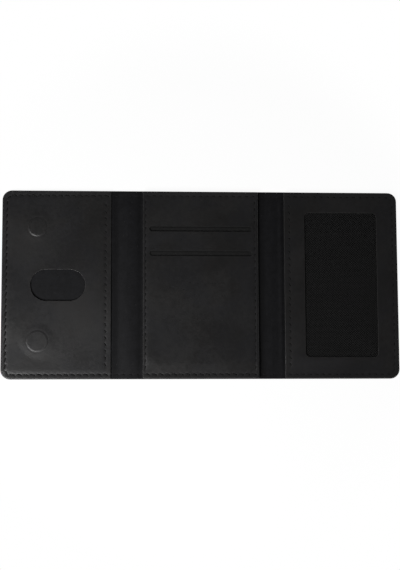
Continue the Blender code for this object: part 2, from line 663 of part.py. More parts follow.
def add_crossing(mesh_maker, vert, i, j, across, along):
    """The small square where two strands cross, cut in half at the field's edge."""
    sides = ((1, 0), (0, 1), (-1, 0), (0, -1))
    inside = [
        (to_x, to_y) for to_x, to_y in sides if 0 <= i + to_x <= across and 0 <= j + to_y <= along
    ]
    corners = [vert(i, j, to_x, to_y) for to_x, to_y in inside]
    if len(inside) == 2:
        corners.append(vert(i, j, 0, 0))
    mesh_maker.faces.new(corners)


def add_strand(mesh_maker, vert, i, j):
    """The stretch of one strand that crosses one cell of the field."""
    if (i + j) % 2 == 0:
        corners = (vert(i, j, 1, 0), vert(i + 1, j + 1, 0, -1), vert(i + 1, j + 1, -1, 0), vert(i, j, 0, 1))
    else:
        corners = (vert(i + 1, j, 0, 1), vert(i, j + 1, 1, 0), vert(i, j + 1, 0, -1), vert(i + 1, j, -1, 0))
    mesh_maker.faces.new(corners)


def add_hem(mesh_maker, vert, across, along):
    """The plain border, one face along each side of the field."""
    x_low, x_high, y_low, y_high = window_panel(NET_MARGIN)
    outer = [
        mesh_maker.verts.new((x, y, NET_LOW))
        for x, y in ((x_low, y_low), (x_high, y_low), (x_high, y_high), (x_low, y_high))
    ]
    bottom, right, top, left = [], [], [], []
    for i in range(0, across + 1, 2):
        bottom += [vert(i, 0, side, 0) for side in (-1, 0, 1) if on_edge(i, side, across)]
        top += [vert(i, along, side, 0) for side in (-1, 0, 1) if on_edge(i, side, across)]
    for j in range(0, along + 1, 2):
        left += [vert(0, j, 0, side) for side in (-1, 0, 1) if on_edge(j, side, along)]
        right += [vert(across, j, 0, side) for side in (-1, 0, 1) if on_edge(j, side, along)]
    for k, inner in enumerate((bottom, right, list(reversed(top)), list(reversed(left)))):
        mesh_maker.faces.new([outer[k], outer[(k + 1) % 4], *reversed(inner)])


def on_edge(step, side, count):
    """Whether a crossing's corner lies on the field's edge: both sides inside, its own at an end."""
    if step in (0, count):
        return side == 0 or 0 < step + side < count
    return side != 0


def build():
    clear_scene()
    half_gap = CREASE_GAP / 2
    left_spine = fold_empty("left_spine_fold", LEFT_SPINE_FOLD, None)
    left_flap = fold_empty("left_flap_fold", LEFT_FLAP_FOLD, left_spine)
    right_spine = fold_empty("right_spine_fold", RIGHT_SPINE_FOLD, None)
    right_flap = fold_empty("right_flap_fold", RIGHT_FLAP_FOLD, right_spine)
    spines = (
        ("left_spine", LEFT_FLAP_FOLD + half_gap, LEFT_SPINE_FOLD - half_gap, left_spine),
        ("right_spine", RIGHT_SPINE_FOLD + half_gap, RIGHT_FLAP_FOLD - half_gap, right_spine),
    )
    make_middle()
    for name, x_low, x_high, hinge in spines:
        cover(f"cover_{name}", x_low, x_high, (0, 0, 0, 0), hinge)
        arched_lining(f"lining_{name}", x_low, x_high, hinge)
    make_left_flap(left_flap)
    make_right_flap(right_flap)


build()
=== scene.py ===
# %% [markdown]
# A tri-fold phone card holder in black waxed leather, lying open on a white table.
#
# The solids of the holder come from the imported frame. They are right in size but plain, so this
# script lays a detailed skin over them: one leather cover, one lining cloth, three inner leathers,
# their seams, the pocket cloths and the fine net. The magnets and boards inside keep their solids
# and get finishes of their own.

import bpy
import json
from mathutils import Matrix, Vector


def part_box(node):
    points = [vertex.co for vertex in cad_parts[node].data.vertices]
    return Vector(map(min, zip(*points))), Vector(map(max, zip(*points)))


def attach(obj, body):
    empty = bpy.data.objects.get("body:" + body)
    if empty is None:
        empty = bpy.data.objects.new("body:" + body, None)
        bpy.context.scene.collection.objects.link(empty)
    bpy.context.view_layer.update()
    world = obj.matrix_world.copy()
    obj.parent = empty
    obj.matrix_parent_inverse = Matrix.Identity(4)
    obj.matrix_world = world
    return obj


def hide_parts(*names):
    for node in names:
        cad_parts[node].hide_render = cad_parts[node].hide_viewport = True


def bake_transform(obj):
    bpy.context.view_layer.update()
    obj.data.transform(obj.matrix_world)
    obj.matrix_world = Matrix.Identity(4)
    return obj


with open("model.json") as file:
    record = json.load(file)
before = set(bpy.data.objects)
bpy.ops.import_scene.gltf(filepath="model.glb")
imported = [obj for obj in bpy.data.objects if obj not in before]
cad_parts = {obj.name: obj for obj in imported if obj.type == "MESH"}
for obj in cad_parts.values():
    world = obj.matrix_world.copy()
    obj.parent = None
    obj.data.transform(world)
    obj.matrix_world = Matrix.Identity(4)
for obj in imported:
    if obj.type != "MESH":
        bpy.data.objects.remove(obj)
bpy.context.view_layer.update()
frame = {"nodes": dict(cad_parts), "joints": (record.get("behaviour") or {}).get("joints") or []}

# %% Tools and units
import json
import math

import bpy
import numpy as np
from mathutils import Matrix, Vector, kdtree, noise
from mathutils.geometry import delaunay_2d_cdt

MM = 0.001


def smooth(values, low, high):
    """0 below one value, 1 above the other, and a soft step between."""
    along = np.clip((values - low) / (high - low), 0, 1)
    return along * along * (3 - 2 * along)


def new_object(name, data):
    """Puts a mesh, a lamp or a camera in the scene."""
    made = bpy.data.objects.new(name, data)
    bpy.context.scene.collection.objects.link(made)
    return made


def smooth_mesh(name, vertices, faces, material):
    """A smooth shaded mesh of one material, as an object in the scene."""
    mesh = bpy.data.meshes.new(name)
    mesh.from_pydata(vertices, [], faces)
    mesh.materials.append(material)
    mesh.shade_smooth()
    return new_object(name, mesh)


print("halfway up the soft step:", float(smooth(0.5, 0, 1)))

# %% [markdown]
# The holder bends at four creases. Their lines are the hinges of the frame, so every stretch of
# leather and cloth below is measured from them and follows them if the solids change.

# %% Fold lines and edges
hinge_x = {joint["name"]: joint["pos_m"][0] for joint in frame["joints"]}
LEFT_FLAP_FOLD = hinge_x["left_flap_fold"]
LEFT_SPINE_FOLD = hinge_x["left_spine_fold"]
RIGHT_SPINE_FOLD = hinge_x["right_spine_fold"]
RIGHT_FLAP_FOLD = hinge_x["right_flap_fold"]
LEFT_END, RIGHT_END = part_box("cover_left")[0].x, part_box("cover_right")[1].x
TOP_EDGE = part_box("cover_left")[1].y
LEFT_SPINE_MIDDLE = (LEFT_FLAP_FOLD + LEFT_SPINE_FOLD) / 2
RIGHT_SPINE_MIDDLE = (RIGHT_SPINE_FOLD + RIGHT_FLAP_FOLD) / 2
MIDDLE_X = (LEFT_SPINE_FOLD + RIGHT_SPINE_FOLD) / 2
print("fold lines, mm:", [round(x / MM, 2) for x in sorted(hinge_x.values())])

# %% [markdown]
# The photograph looks almost straight down. Its four corners give the camera: the near edge is
# 1.7 % longer than the far one, so the lens stood 650 mm above the table, a little to the left
# and in front of the middle. A picture's focal length in pixels times the sensor's width, over
# the picture's long side, is the lens in millimetres.

# %% Camera
PICTURE_HEIGHT = 570
FOCAL_PIXELS = 1184.7
CAMERA_PLACE = (-41.0 * MM, -68.6 * MM, 650.0 * MM)
CAMERA_YAW, CAMERA_PITCH, CAMERA_ROLL = -3.534, 6.002, -0.23

camera_data = bpy.data.cameras.new("camera")
camera_data.lens = FOCAL_PIXELS * camera_data.sensor_width / PICTURE_HEIGHT
camera_data.clip_start, camera_data.clip_end = 0.01, 20
camera = new_object("camera", camera_data)
turn = Matrix.Rotation(math.radians(CAMERA_YAW), 4, "Y")
turn = turn @ Matrix.Rotation(math.radians(CAMERA_PITCH), 4, "X")
turn = turn @ Matrix.Rotation(math.radians(CAMERA_ROLL), 4, "Z")
camera.matrix_world = Matrix.Translation(CAMERA_PLACE) @ turn
bpy.context.scene.camera = camera
print("lens, mm:", round(camera_data.lens, 2))

# %% [markdown]
# Every flat piece of this holder is a rounded rectangle: a flap, a window, and also a slot, whose
# corner radius is half its width. One small class therefore serves them all. It tells how deep
# inside its edge a point lies, and it walks along its edge at any inset. All insets of one
# outline are walked in equally many steps, so that the rings next to an edge line up.


# %% Rounded outlines
class Outline:
    """A rounded rectangle. Its radii start at the lower left corner and run anticlockwise."""

    LEAST_RADIUS = 0.02 * MM
    LEAST_STEPS = 6  # round a corner
    NO_SIDE = 0.001 * MM  # a side this short is left out: the two corners meet

    def __init__(self, x_low, x_high, y_low, y_high, radii):
        self.low, self.high = np.array((x_low, y_low)), np.array((x_high, y_high))
        self.radii = np.maximum(np.array(radii, float) * np.ones(4), self.LEAST_RADIUS)

    def inset(self, across, along=None):
        """The outline drawn in by so much in x and in y, or drawn out where that is negative."""
        along = across if along is None else along
        low, high = self.low + (across, along), self.high - (across, along)
        return Outline(low[0], high[0], low[1], high[1], self.radii - min(across, along))

    def depth(self, points):
        """How deep inside the edge each point lies. It is negative outside."""
        offset = points - (self.low + self.high) / 2
        corner = (offset[:, 0] > 0) * 1 + (offset[:, 1] > 0) * 2
        radii = self.radii[[0, 1, 3, 2]][corner]
        past = np.abs(offset) - (self.high - self.low)[None] / 2 + radii[:, None]
        return radii - np.linalg.norm(np.maximum(past, 0), axis=1) - np.minimum(past.max(axis=1), 0)

    def walk(self, spacing, inset=0.0):
        """Points along the edge, anticlockwise, as many at every inset."""
        drawn = self.inset(inset)
        (left, bottom), (right, top) = drawn.low, drawn.high
        corners = ((left, bottom, 1, 1), (right, bottom, -1, 1), (right, top, -1, -1), (left, top, 1, -1))
        sides = self.high - self.low
        points = []
        for i, (x, y, to_x, to_y) in enumerate(corners):
            radius = drawn.radii[i]
            steps = max(self.LEAST_STEPS, round(self.radii[i] * math.pi / 2 / spacing))
            centre_x, centre_y = x + to_x * radius, y + to_y * radius
            for step in range(steps + 1):
                angle = math.pi + (i + step / steps) * math.pi / 2
                points.append((centre_x + radius * math.cos(angle), centre_y + radius * math.sin(angle)))
            j = (i + 1) % 4
            straight = sides[i % 2] - self.radii[i] - self.radii[j]
            if straight < self.NO_SIDE:
                points.pop()
                continue
            pieces = max(1, round(straight / spacing))
            end_x = corners[j][0] + corners[j][2] * (drawn.radii[j] if i % 2 == 0 else 0)
            end_y = corners[j][1] + corners[j][3] * (drawn.radii[j] if i % 2 == 1 else 0)
            start, end = np.array(points[-1]), np.array((end_x, end_y))
            points += [tuple(start + (end - start) * k / pieces) for k in range(1, pieces)]
        return np.array(points)


card = Outline(0, 54.0 * MM, 0, 85.6 * MM, 3.2 * MM)
print("points round a bank card, one a millimetre:", len(card.walk(1.0 * MM)))

# %% [markdown]
# A sheet of leather or cloth is a height over every point of its outline. Its points are rings
# along the edges and holes, where the cut edge turns over, a plain grid elsewhere, and finer
# points where something small is pressed into it. One triangulation joins them all. Holes cut out
# of a finished grid would have ragged triangles round them. Here the rings follow them.
#
# Each vertex also keeps its place at rest and its distance from the cut edge. The materials read
# the first, so that the grain stays on the leather when it folds, and the second for edge wear.

# %% Points of a sheet
RING_SHARES = (0.0, 0.12, 0.45, 1.0)  # of the rounding's radius
RING_INSETS = (0.35 * MM, 0.65 * MM)
RING_SPACING = 0.8  # along a ring, as a share of the grid's spacing
GRID_GAP, FINE_GAP = 0.45, 0.55  # from the last ring and from fine points, as shares of it too
FINE_TO_RING = 0.1 * MM


def grid_in(outline, spacing):
    """A grid of points over an outline's box, every second row shifted."""
    low, high = outline.low, outline.high
    points = []
    for i, y in enumerate(np.arange(low[1], high[1], spacing * math.sqrt(3) / 2)):
        points += [(x, y) for x in np.arange(low[0] + (i % 2) * spacing / 2, high[0], spacing)]
    return np.array(points)


def flat_tree(points):
    """A search tree over points of the plane."""
    tree = kdtree.KDTree(len(points))
    for i, (x, y) in enumerate(points):
        tree.insert((x, y, 0), i)
    tree.balance()
    return tree


def apart(points, others, distance):
    """The points that lie further than a distance from all others."""
    if len(others) == 0:
        return points
    tree = flat_tree(others)
    return np.array([p for p in points if tree.find((p[0], p[1], 0))[2] > distance])


def edge_depth(points, outline, holes):
    """How far each point lies from the nearest cut edge."""
    depth = outline.depth(points)
    for hole in holes:
        depth = np.minimum(depth, -hole.depth(points))
    return depth


def rounding(depth, radius):
    """How far a rounded edge has dropped at a depth."""
    inside = np.clip(radius - depth, 0, radius)
    return radius - np.sqrt(radius**2 - inside**2)


def lay_out(outline, holes, spacing, edge, hole_edge, fine):
    """The flat points of a sheet, its triangles, and its boundary loops as lists of indices."""
    points, edges, loops = [], [], []
    for shape, sign, radius in [(outline, 1, edge)] + [(hole, -1, hole_edge) for hole in holes]:
        insets = [share * radius for share in RING_SHARES]
        insets += [inset for inset in RING_INSETS if inset > radius * 1.5]
        for inset in insets:
            ring = shape.walk(spacing * RING_SPACING, sign * inset)
            first = len(points)
            points += [tuple(p) for p in ring]
            edges += [(first + i, first + (i + 1) % len(ring)) for i in range(len(ring))]
            if inset == 0:
                loops.append(list(range(first, first + len(ring))))
    fill = grid_in(outline, spacing)
    fill = fill[edge_depth(fill, outline, holes) > insets[-1] + GRID_GAP * spacing]
    if len(fine):
        fine = fine[edge_depth(fine, outline, holes) > insets[-1] + FINE_TO_RING]
        fill = np.concatenate([apart(fill, fine, FINE_GAP * spacing), fine])
    points = np.array(points + [tuple(p) for p in fill])
    found = delaunay_2d_cdt([Vector(p) for p in points], edges, [], 0, 1e-9)
    flat = np.array([tuple(v) for v in found[0]])
    place = {source: new for new, sources in enumerate(found[3]) for source in sources}
    triangles = np.array([face for face in found[2] if len(face) == 3])
    loops = [[place[i] for i in loop] for loop in loops]
    for loop in loops[1:]:
        on_loop = np.isin(triangles, loop)
        triangles = triangles[~on_loop.all(axis=1)]
    return flat, triangles, loops


print("triangles in a sheet the size of a card:", len(lay_out(card, [], 2 * MM, 0.1 * MM, 0, ())[1]))


# %% Sheet builder
SHARP_ANGLE = 50  # degrees


def make_sheet(
    name, outline, top, under, holes=(), spacing=1.0 * MM, edge=0.12 * MM, hole_edge=None,
    fine=(), materials=(), whole=None, dyed_and_shaded_rim=0.0,
):
    """A closed sheet between two height functions, with rounded upper and lower edges.

    Where the piece is one stretch of a larger sheet, that sheet's outline is the whole: only its
    edges are cut and rounded, and the joins between stretches stay square and don't show. A dyed
    and shaded rim is a narrow darker, duller band round each hole: edge dye run onto the face,
    and painted shade that gives the hole its dark outline.
    """
    hole_edge, cut = hole_edge or edge, whole or outline
    flat, triangles, loops = lay_out(outline, holes, spacing, edge, hole_edge, np.array(fine))
    from_rim, from_edges = cut.depth(flat), edge_depth(flat, cut, holes)
    depth = from_rim if dyed_and_shaded_rim else from_edges
    rounded = rounding(from_rim, edge)
    if holes:
        rounded = np.maximum(rounded, rounding(from_edges, hole_edge))
    over = np.column_stack([flat, top(flat) - rounded])
    below = np.column_stack([flat, under(flat) + rounded])
    count = len(flat)
    corners = flat[triangles]
    side_a, side_b = corners[:, 1] - corners[:, 0], corners[:, 2] - corners[:, 0]
    clockwise = side_a[:, 0] * side_b[:, 1] < side_a[:, 1] * side_b[:, 0]
    triangles[clockwise] = triangles[clockwise][:, ::-1]
    faces = [tuple(t) for t in triangles] + [tuple(t[::-1] + count) for t in triangles]
    walls = []
    for n, loop in enumerate(loops):
        for i, a in enumerate(loop):
            b = loop[(i + 1) % len(loop)]
            walls.append((a, a + count, b + count, b) if n == 0 else (b, b + count, a + count, a))
    mesh = bpy.data.meshes.new(name)
    mesh.from_pydata(np.concatenate([over, below]).tolist(), [], faces + walls)
    for material in materials:
        mesh.materials.append(material)
    if len(materials) > 1:
        index = np.zeros(len(faces) + len(walls), np.int32)
        index[len(faces):] = 1
        index[len(faces) + len(loops[0]):] = len(materials) - 1
        # Faces near a hole take the dark edge material: edge dye, and painted shade round the hole
        if dyed_and_shaded_rim:
            near = from_edges < np.minimum(dyed_and_shaded_rim, from_rim)
            index[:len(triangles)][near[triangles].all(axis=1)] = len(materials) - 1
        mesh.polygons.foreach_set("material_index", index)
    mesh.shade_smooth()
    mesh.set_sharp_from_angle(angle=math.radians(SHARP_ANGLE))
    keep_rest(mesh, np.concatenate([depth, depth]))
    return new_object(name, mesh)


def vertex_places(mesh):
    """The places of all vertices, one after another."""
    places = np.empty(len(mesh.vertices) * 3, np.float32)
    mesh.vertices.foreach_get("co", places)
    return places


def keep_values(mesh, name, values):
    """Stores a number for each vertex, for the materials to read."""
    made = mesh.attributes.new(name, "FLOAT", "POINT")
    made.data.foreach_set("value", values.astype(np.float32))


def keep_rest(mesh, depth=None):
    """Stores each vertex's place at rest, in millimetres, and its distance from the cut edge."""
    made = mesh.attributes.new("rest", "FLOAT_VECTOR", "POINT")
    made.data.foreach_set("vector", vertex_places(mesh) / MM)
    if depth is not None:
        keep_values(mesh, "edge", depth / MM)


print("a rounding of 0.1 mm drops at the cut by, mm:", float(rounding(np.zeros(1), 0.1 * MM)[0] / MM))

# %% [markdown]
# Materials come next. Black leather is hardly ever flat black. Its grain is a net of shallow
# pebbles, wax lies on it in soft clouds, and handling leaves fine scuffs. Each of these is a
# node group with named inputs, so that the outer cover, the inner leathers and the cut edges can
# share them with other values. All of them read the place at rest, in millimetres.

# %% Node helpers
def new_group(name, inputs, outputs):
    """An empty shader group with its sockets, and a function that adds nodes to it."""
    group = bpy.data.node_groups.new(name, "ShaderNodeTree")
    kinds = {"float": "NodeSocketFloat", "vector": "NodeSocketVector", "colour": "NodeSocketColor"}
    for socket, kind, value in inputs:
        made = group.interface.new_socket(socket, in_out="INPUT", socket_type=kinds[kind])
        if value is not None:
            made.default_value = value
    for socket, kind in outputs:
        group.interface.new_socket(socket, in_out="OUTPUT", socket_type=kinds[kind])
    entry, leave = group.nodes.new("NodeGroupInput"), group.nodes.new("NodeGroupOutput")
    return group, entry, leave


def add_node(tree, kind, values=None, **settings):
    """A node with its settings and its inputs, where an input is a value or another's socket."""
    node = tree.nodes.new("ShaderNode" + kind)
    for setting, value in settings.items():
        setattr(node, setting, value)
    for socket, value in (values or {}).items():
        if isinstance(value, bpy.types.NodeSocket):
            tree.links.new(value, node.inputs[socket])
        else:
            node.inputs[socket].default_value = value
    return node


def math_node(tree, operation, first, second=0.0, third=0.0):
    """The result of one sum."""
    return add_node(tree, "Math", {0: first, 1: second, 2: third}, operation=operation).outputs[0]


def spread(tree, value, low, high, to_low=0.0, to_high=1.0):
    """A value mapped softly from one range to another."""
    values = {0: value, 1: low, 2: high, 3: to_low, 4: to_high}
    return add_node(tree, "MapRange", values, interpolation_type="SMOOTHSTEP").outputs[0]


def blend_colours(tree, share, first, second):
    """A share of the way from one colour to another. Sockets 6, 7 and 2 are the colour ones."""
    return add_node(tree, "Mix", {0: share, 6: first, 7: second}, data_type="RGBA").outputs[2]


def clouds(tree, vector, scale, detail=4.0, roughness=0.55, distortion=0.0):
    """Noise whose blotches are about one over scale millimetres across."""
    values = {"Vector": vector, "Scale": scale, "Detail": detail}
    values.update(Roughness=roughness, Distortion=distortion)
    return add_node(tree, "TexNoise", values).outputs[0]


print("node groups so far:", len(bpy.data.node_groups))


# %% Leather grain
def make_grain_group():
    """Pebbles of a fine full grain with pores between them, from the place in millimetres."""
    group, entry, leave = new_group(
        "leather_grain",
        [("Place", "vector", None), ("Pebbles per mm", "float", 1.6), ("Creasing", "float", 0.5)],
        [("Height", "float"), ("Pores", "float")],
    )
    place = entry.outputs["Place"]
    warp = add_node(group, "TexNoise", {"Vector": place, "Scale": 0.9, "Detail": 2.0}).outputs[1]
    bent = add_node(group, "VectorMath", {0: place, 1: warp}, operation="ADD").outputs[0]
    cell_values = {"Vector": bent, "Scale": entry.outputs["Pebbles per mm"]}
    cells = add_node(group, "TexVoronoi", cell_values, feature="DISTANCE_TO_EDGE").outputs[0]
    pebbles = spread(group, cells, 0.0, 0.34)
    wrinkles = clouds(group, bent, 0.55, 5.0, 0.62, 0.6)
    folds = math_node(group, "MULTIPLY", wrinkles, entry.outputs["Creasing"])
    height = math_node(group, "MULTIPLY_ADD", pebbles, 0.35, folds)
    speckle = clouds(group, place, 6.0, 2.0, 0.5)
    group.links.new(math_node(group, "MULTIPLY_ADD", speckle, 0.15, height), leave.inputs["Height"])
    group.links.new(spread(group, cells, 0.0, 0.09, 1.0, 0.0), leave.inputs["Pores"])
    return group


grain_group = make_grain_group()
print("made the group", grain_group.name)


# %% Wax bloom
BLOOM_SLICE = 1464.0  # millimetres up the solid noise: each height gives the leathers other clouds


def make_bloom_group():
    """Where the wax of a pulled-up leather lies paler: broad clouds, streaks and fine specks."""
    group, entry, leave = new_group(
        "wax_bloom",
        [("Place", "vector", None), ("Clouds per mm", "float", 0.03), ("Contrast", "float", 1.0)],
        [("Bloom", "float"), ("Dulling", "float"), ("Tint", "float")],
    )
    slice_values = {"Vector": entry.outputs["Place"], "Location": (0, 0, BLOOM_SLICE)}
    place, size = add_node(group, "Mapping", slice_values).outputs[0], entry.outputs["Clouds per mm"]
    broad = clouds(group, place, size, 3.0, 0.5, 0.8)
    small = clouds(group, place, math_node(group, "MULTIPLY", size, 5.0), 4.0, 0.55, 0.3)
    fine = math_node(group, "SUBTRACT", clouds(group, place, 0.5, 5.0, 0.8), 0.5)
    summed = math_node(group, "MULTIPLY_ADD", small, 0.28, math_node(group, "MULTIPLY", broad, 0.72))
    summed = math_node(group, "MULTIPLY_ADD", fine, 0.8, summed)
    centred = math_node(group, "SUBTRACT", summed, 0.5)
    centred = math_node(group, "MULTIPLY", centred, entry.outputs["Contrast"])
    bloom = math_node(group, "MULTIPLY_ADD", centred, 2.2, 0.5)
    group.links.new(add_node(group, "Clamp", {0: bloom}).outputs[0], leave.inputs["Bloom"])
    dulling = math_node(group, "MULTIPLY_ADD", fine, 1.2, broad)
    group.links.new(spread(group, dulling, 0.25, 0.75), leave.inputs["Dulling"])
    tint = clouds(group, place, math_node(group, "MULTIPLY", size, 1.7), 2.0, 0.5, 0.5)
    group.links.new(spread(group, tint, 0.38, 0.62), leave.inputs["Tint"])
    return group


bloom_group = make_bloom_group()
print("made the group", bloom_group.name)


# %% Edge wear
def make_wear_group():
    """Paler rubbed leather next to a cut edge, broken up by noise."""
    group, entry, leave = new_group(
        "edge_wear",
        [("Place", "vector", None), ("Distance", "float", 5.0), ("Width", "float", 0.35)],
        [("Wear", "float")],
    )
    near = spread(group, entry.outputs["Distance"], 0.0, entry.outputs["Width"], 1.0, 0.0)
    broken = spread(group, clouds(group, entry.outputs["Place"], 0.7, 4.0, 0.65), 0.32, 0.6)
    group.links.new(math_node(group, "MULTIPLY", near, broken), leave.inputs["Wear"])
    return group


wear_group = make_wear_group()
print("made the group", wear_group.name)


# %% Cloth weave
def make_weave_group():
    """A plain weave of fine threads: every second crossing of warp and weft stands proud."""
    group, entry, leave = new_group(
        "cloth_weave",
        [("Place", "vector", None), ("Threads per mm", "float", 2.6), ("Slubs", "float", 0.5)],
        [("Height", "float"), ("Gaps", "float"), ("Shade", "float"), ("Lint", "float")],
    )
    place = entry.outputs["Place"]
    split = add_node(group, "SeparateXYZ", {0: place})
    turns = math_node(group, "MULTIPLY", entry.outputs["Threads per mm"], math.pi)
    warp = math_node(group, "SINE", math_node(group, "MULTIPLY", split.outputs[0], turns))
    weft = math_node(group, "SINE", math_node(group, "MULTIPLY", split.outputs[1], turns))
    over = math_node(group, "MULTIPLY", warp, weft)
    body = math_node(group, "MAXIMUM", math_node(group, "ABSOLUTE", warp), math_node(group, "ABSOLUTE", weft))
    height = math_node(group, "MULTIPLY_ADD", over, 0.5, body)
    slubs = clouds(group, place, 1.1, 3.0, 0.6)
    height = math_node(group, "MULTIPLY_ADD", slubs, entry.outputs["Slubs"], height)
    group.links.new(height, leave.inputs["Height"])
    group.links.new(spread(group, body, 0.25, 0.6, 1.0, 0.0), leave.inputs["Gaps"])
    group.links.new(spread(group, clouds(group, place, 0.4, 6.0, 0.9), 0.28, 0.72), leave.inputs["Shade"])
    speck_values = {"Vector": place, "Scale": 0.12}
    specks = add_node(group, "TexVoronoi", speck_values, voronoi_dimensions="2D").outputs[0]
    specks = spread(group, specks, 0.012, 0.030, 1.0, 0.0)
    here = spread(group, clouds(group, place, 0.11, 2.0, 0.5), 0.48, 0.56)
    group.links.new(math_node(group, "MULTIPLY", specks, here), leave.inputs["Lint"])
    return group


weave_group = make_weave_group()
print("made the group", weave_group.name)


# %% Cut fibre
def make_fibre_group():
    """The raw cut edge of a leather: short fibres in layers along the edge."""
    group, entry, leave = new_group(
        "cut_fibre",
        [("Place", "vector", None), ("Fibres per mm", "float", 3.0)],
        [("Height", "float"), ("Tint", "float")],
    )
    layers = {"Vector": entry.outputs["Place"], "Scale": (1.0, 1.0, 5.0)}
    stretch = add_node(group, "Mapping", layers).outputs[0]
    fibres = clouds(group, stretch, entry.outputs["Fibres per mm"], 4.0, 0.65)
    group.links.new(fibres, leave.inputs["Height"])
    group.links.new(spread(group, clouds(group, stretch, 0.8, 3.0, 0.6), 0.3, 0.7), leave.inputs["Tint"])
    return group


fibre_group = make_fibre_group()
print("node groups:", [group.name for group in bpy.data.node_groups])


# %% Material helpers
def new_material(name, **sockets):
    """A material with a Principled BSDF whose sockets take plain values."""
    material = bpy.data.materials.new(name)
    material.use_nodes = True
    tree = material.node_tree
    shader = tree.nodes["Principled BSDF"]
    for socket, value in sockets.items():
        shader.inputs[socket.replace("_", " ")].default_value = value
    return material, tree, shader


def use_group(tree, group, **values):
    """Places a node group in a material. An input is a value or another node's socket."""
    values = {socket.replace("_", " "): value for socket, value in values.items()}
    return add_node(tree, "Group", values, node_tree=group)


def rest_place(tree):
    return add_node(tree, "Attribute", attribute_name="rest").outputs["Vector"]


def rest_edge(tree):
    return add_node(tree, "Attribute", attribute_name="edge").outputs["Fac"]


def bump(tree, shader, height, distance):
    """Turns a height between 0 and 1, times a distance, into the shader's normal."""
    node = add_node(tree, "Bump", {"Height": height, "Distance": distance, "Strength": 1.0})
    tree.links.new(node.outputs[0], shader.inputs["Normal"])


print("materials so far:", len(bpy.data.materials))


# %% Leather materials
TINT_SHARE, PORE_SHARE, WEAR_SHARE = 0.45, 0.5, 0.7


def make_leather(name, dark, pale, worn, cast, pebbles, contrast, roughness, grain_depth, sheen):
    """A waxed black leather: clouds of bloom between two colours, grain, pores and rubbed edges."""
    material, tree, shader = new_material(name, Specular_IOR_Level=sheen)
    place = rest_place(tree)
    bloom = use_group(tree, bloom_group, Place=place, Contrast=contrast)
    grain = use_group(tree, grain_group, Place=place, Pebbles_per_mm=pebbles)
    wear = use_group(tree, wear_group, Place=place, Distance=rest_edge(tree))
    colour = blend_colours(tree, bloom.outputs["Bloom"], (*dark, 1), (*pale, 1))
    for mask, most, over in (
        (bloom.outputs["Tint"], TINT_SHARE, cast),
        (grain.outputs["Pores"], PORE_SHARE, dark),
        (wear.outputs["Wear"], WEAR_SHARE, worn),
    ):
        colour = blend_colours(tree, math_node(tree, "MULTIPLY", mask, most), colour, (*over, 1))
    tree.links.new(colour, shader.inputs["Base Color"])
    dulled = spread(tree, bloom.outputs["Dulling"], 0.0, 1.0, *roughness)
    tree.links.new(dulled, shader.inputs["Roughness"])
    bump(tree, shader, grain.outputs["Height"], grain_depth)
    return material


inner_leather = make_leather(
    "waxed_inner_leather", (0.0046, 0.0043, 0.0043), (0.0112, 0.0106, 0.0106), (0.028, 0.027, 0.026),
    cast=(0.0064, 0.0066, 0.0082), pebbles=1.7, contrast=0.85, roughness=(0.315, 0.365),
    grain_depth=0.014 * MM, sheen=0.45,
)
outer_leather = make_leather(
    "waxed_outer_leather", (0.0048, 0.0045, 0.0045), (0.0100, 0.0095, 0.0093), (0.022, 0.021, 0.020),
    cast=(0.0058, 0.0060, 0.0076), pebbles=1.3, contrast=0.8, roughness=(0.36, 0.48),
    grain_depth=0.03 * MM, sheen=0.4,
)


def make_cut_edge(name, dark, pale):
    """The fibres of a cut leather edge, stained black but duller and paler than the face."""
    material, tree, shader = new_material(name, Specular_IOR_Level=0.2)
    fibre = use_group(tree, fibre_group, Place=rest_place(tree))
    tint = fibre.outputs["Tint"]
    tree.links.new(blend_colours(tree, tint, (*dark, 1), (*pale, 1)), shader.inputs["Base Color"])
    tree.links.new(spread(tree, tint, 0.0, 1.0, 0.6, 0.8), shader.inputs["Roughness"])
    bump(tree, shader, fibre.outputs["Height"], 0.04 * MM)
    return material


cut_edge = make_cut_edge("cut_edge", (0.0060, 0.0056, 0.0053), (0.0160, 0.0150, 0.0142))
# Edge dye for the holes' cut faces; on the middle front it also paints a shaded rim round the card slots
dyed_edge_and_rim_shade = make_cut_edge("dyed_edge_and_rim_shade", (0.0035, 0.0034, 0.0034), (0.0070, 0.0068, 0.0067))
print("leathers:", [made.name for made in (inner_leather, outer_leather, cut_edge, dyed_edge_and_rim_shade)])


# %% Cloth materials
GAP_SHARE = 0.5
LINT_COLOUR = (0.06, 0.06, 0.062, 1)
# Painted crease shade: the colour that the cloth is darkened towards beside its folds
PAINTED_CREASE_SHADE = 0.35  # of the cloth's dark shade


def make_cloth(name, dark, pale, threads, depth, roughness, lint=0.0, sheen=0.12):
    """A woven cloth between two shades, darker in the gaps of its weave, with shade painted where it is
    creased.
    """
    material, tree, shader = new_material(name, Roughness=roughness, Specular_IOR_Level=sheen)
    weave = use_group(tree, weave_group, Place=rest_place(tree), Threads_per_mm=threads)
    colour = blend_colours(tree, weave.outputs["Shade"], (*dark, 1), (*pale, 1))
    gaps = math_node(tree, "MULTIPLY", weave.outputs["Gaps"], GAP_SHARE)
    colour = blend_colours(tree, gaps, colour, (*dark, 1))
    specks = math_node(tree, "MULTIPLY", weave.outputs["Lint"], lint)
    colour = blend_colours(tree, specks, colour, LINT_COLOUR)
    # The crease attribute holds painted shade, which darkens the cloth beside its folds
    crease_shade_mask = add_node(tree, "Attribute", attribute_name="crease").outputs["Fac"]
    crease_shade_colour = tuple(PAINTED_CREASE_SHADE * value for value in dark)
    colour = blend_colours(tree, crease_shade_mask, colour, (*crease_shade_colour, 1))
    tree.links.new(colour, shader.inputs["Base Color"])
    bump(tree, shader, weave.outputs["Height"], depth)
    return material


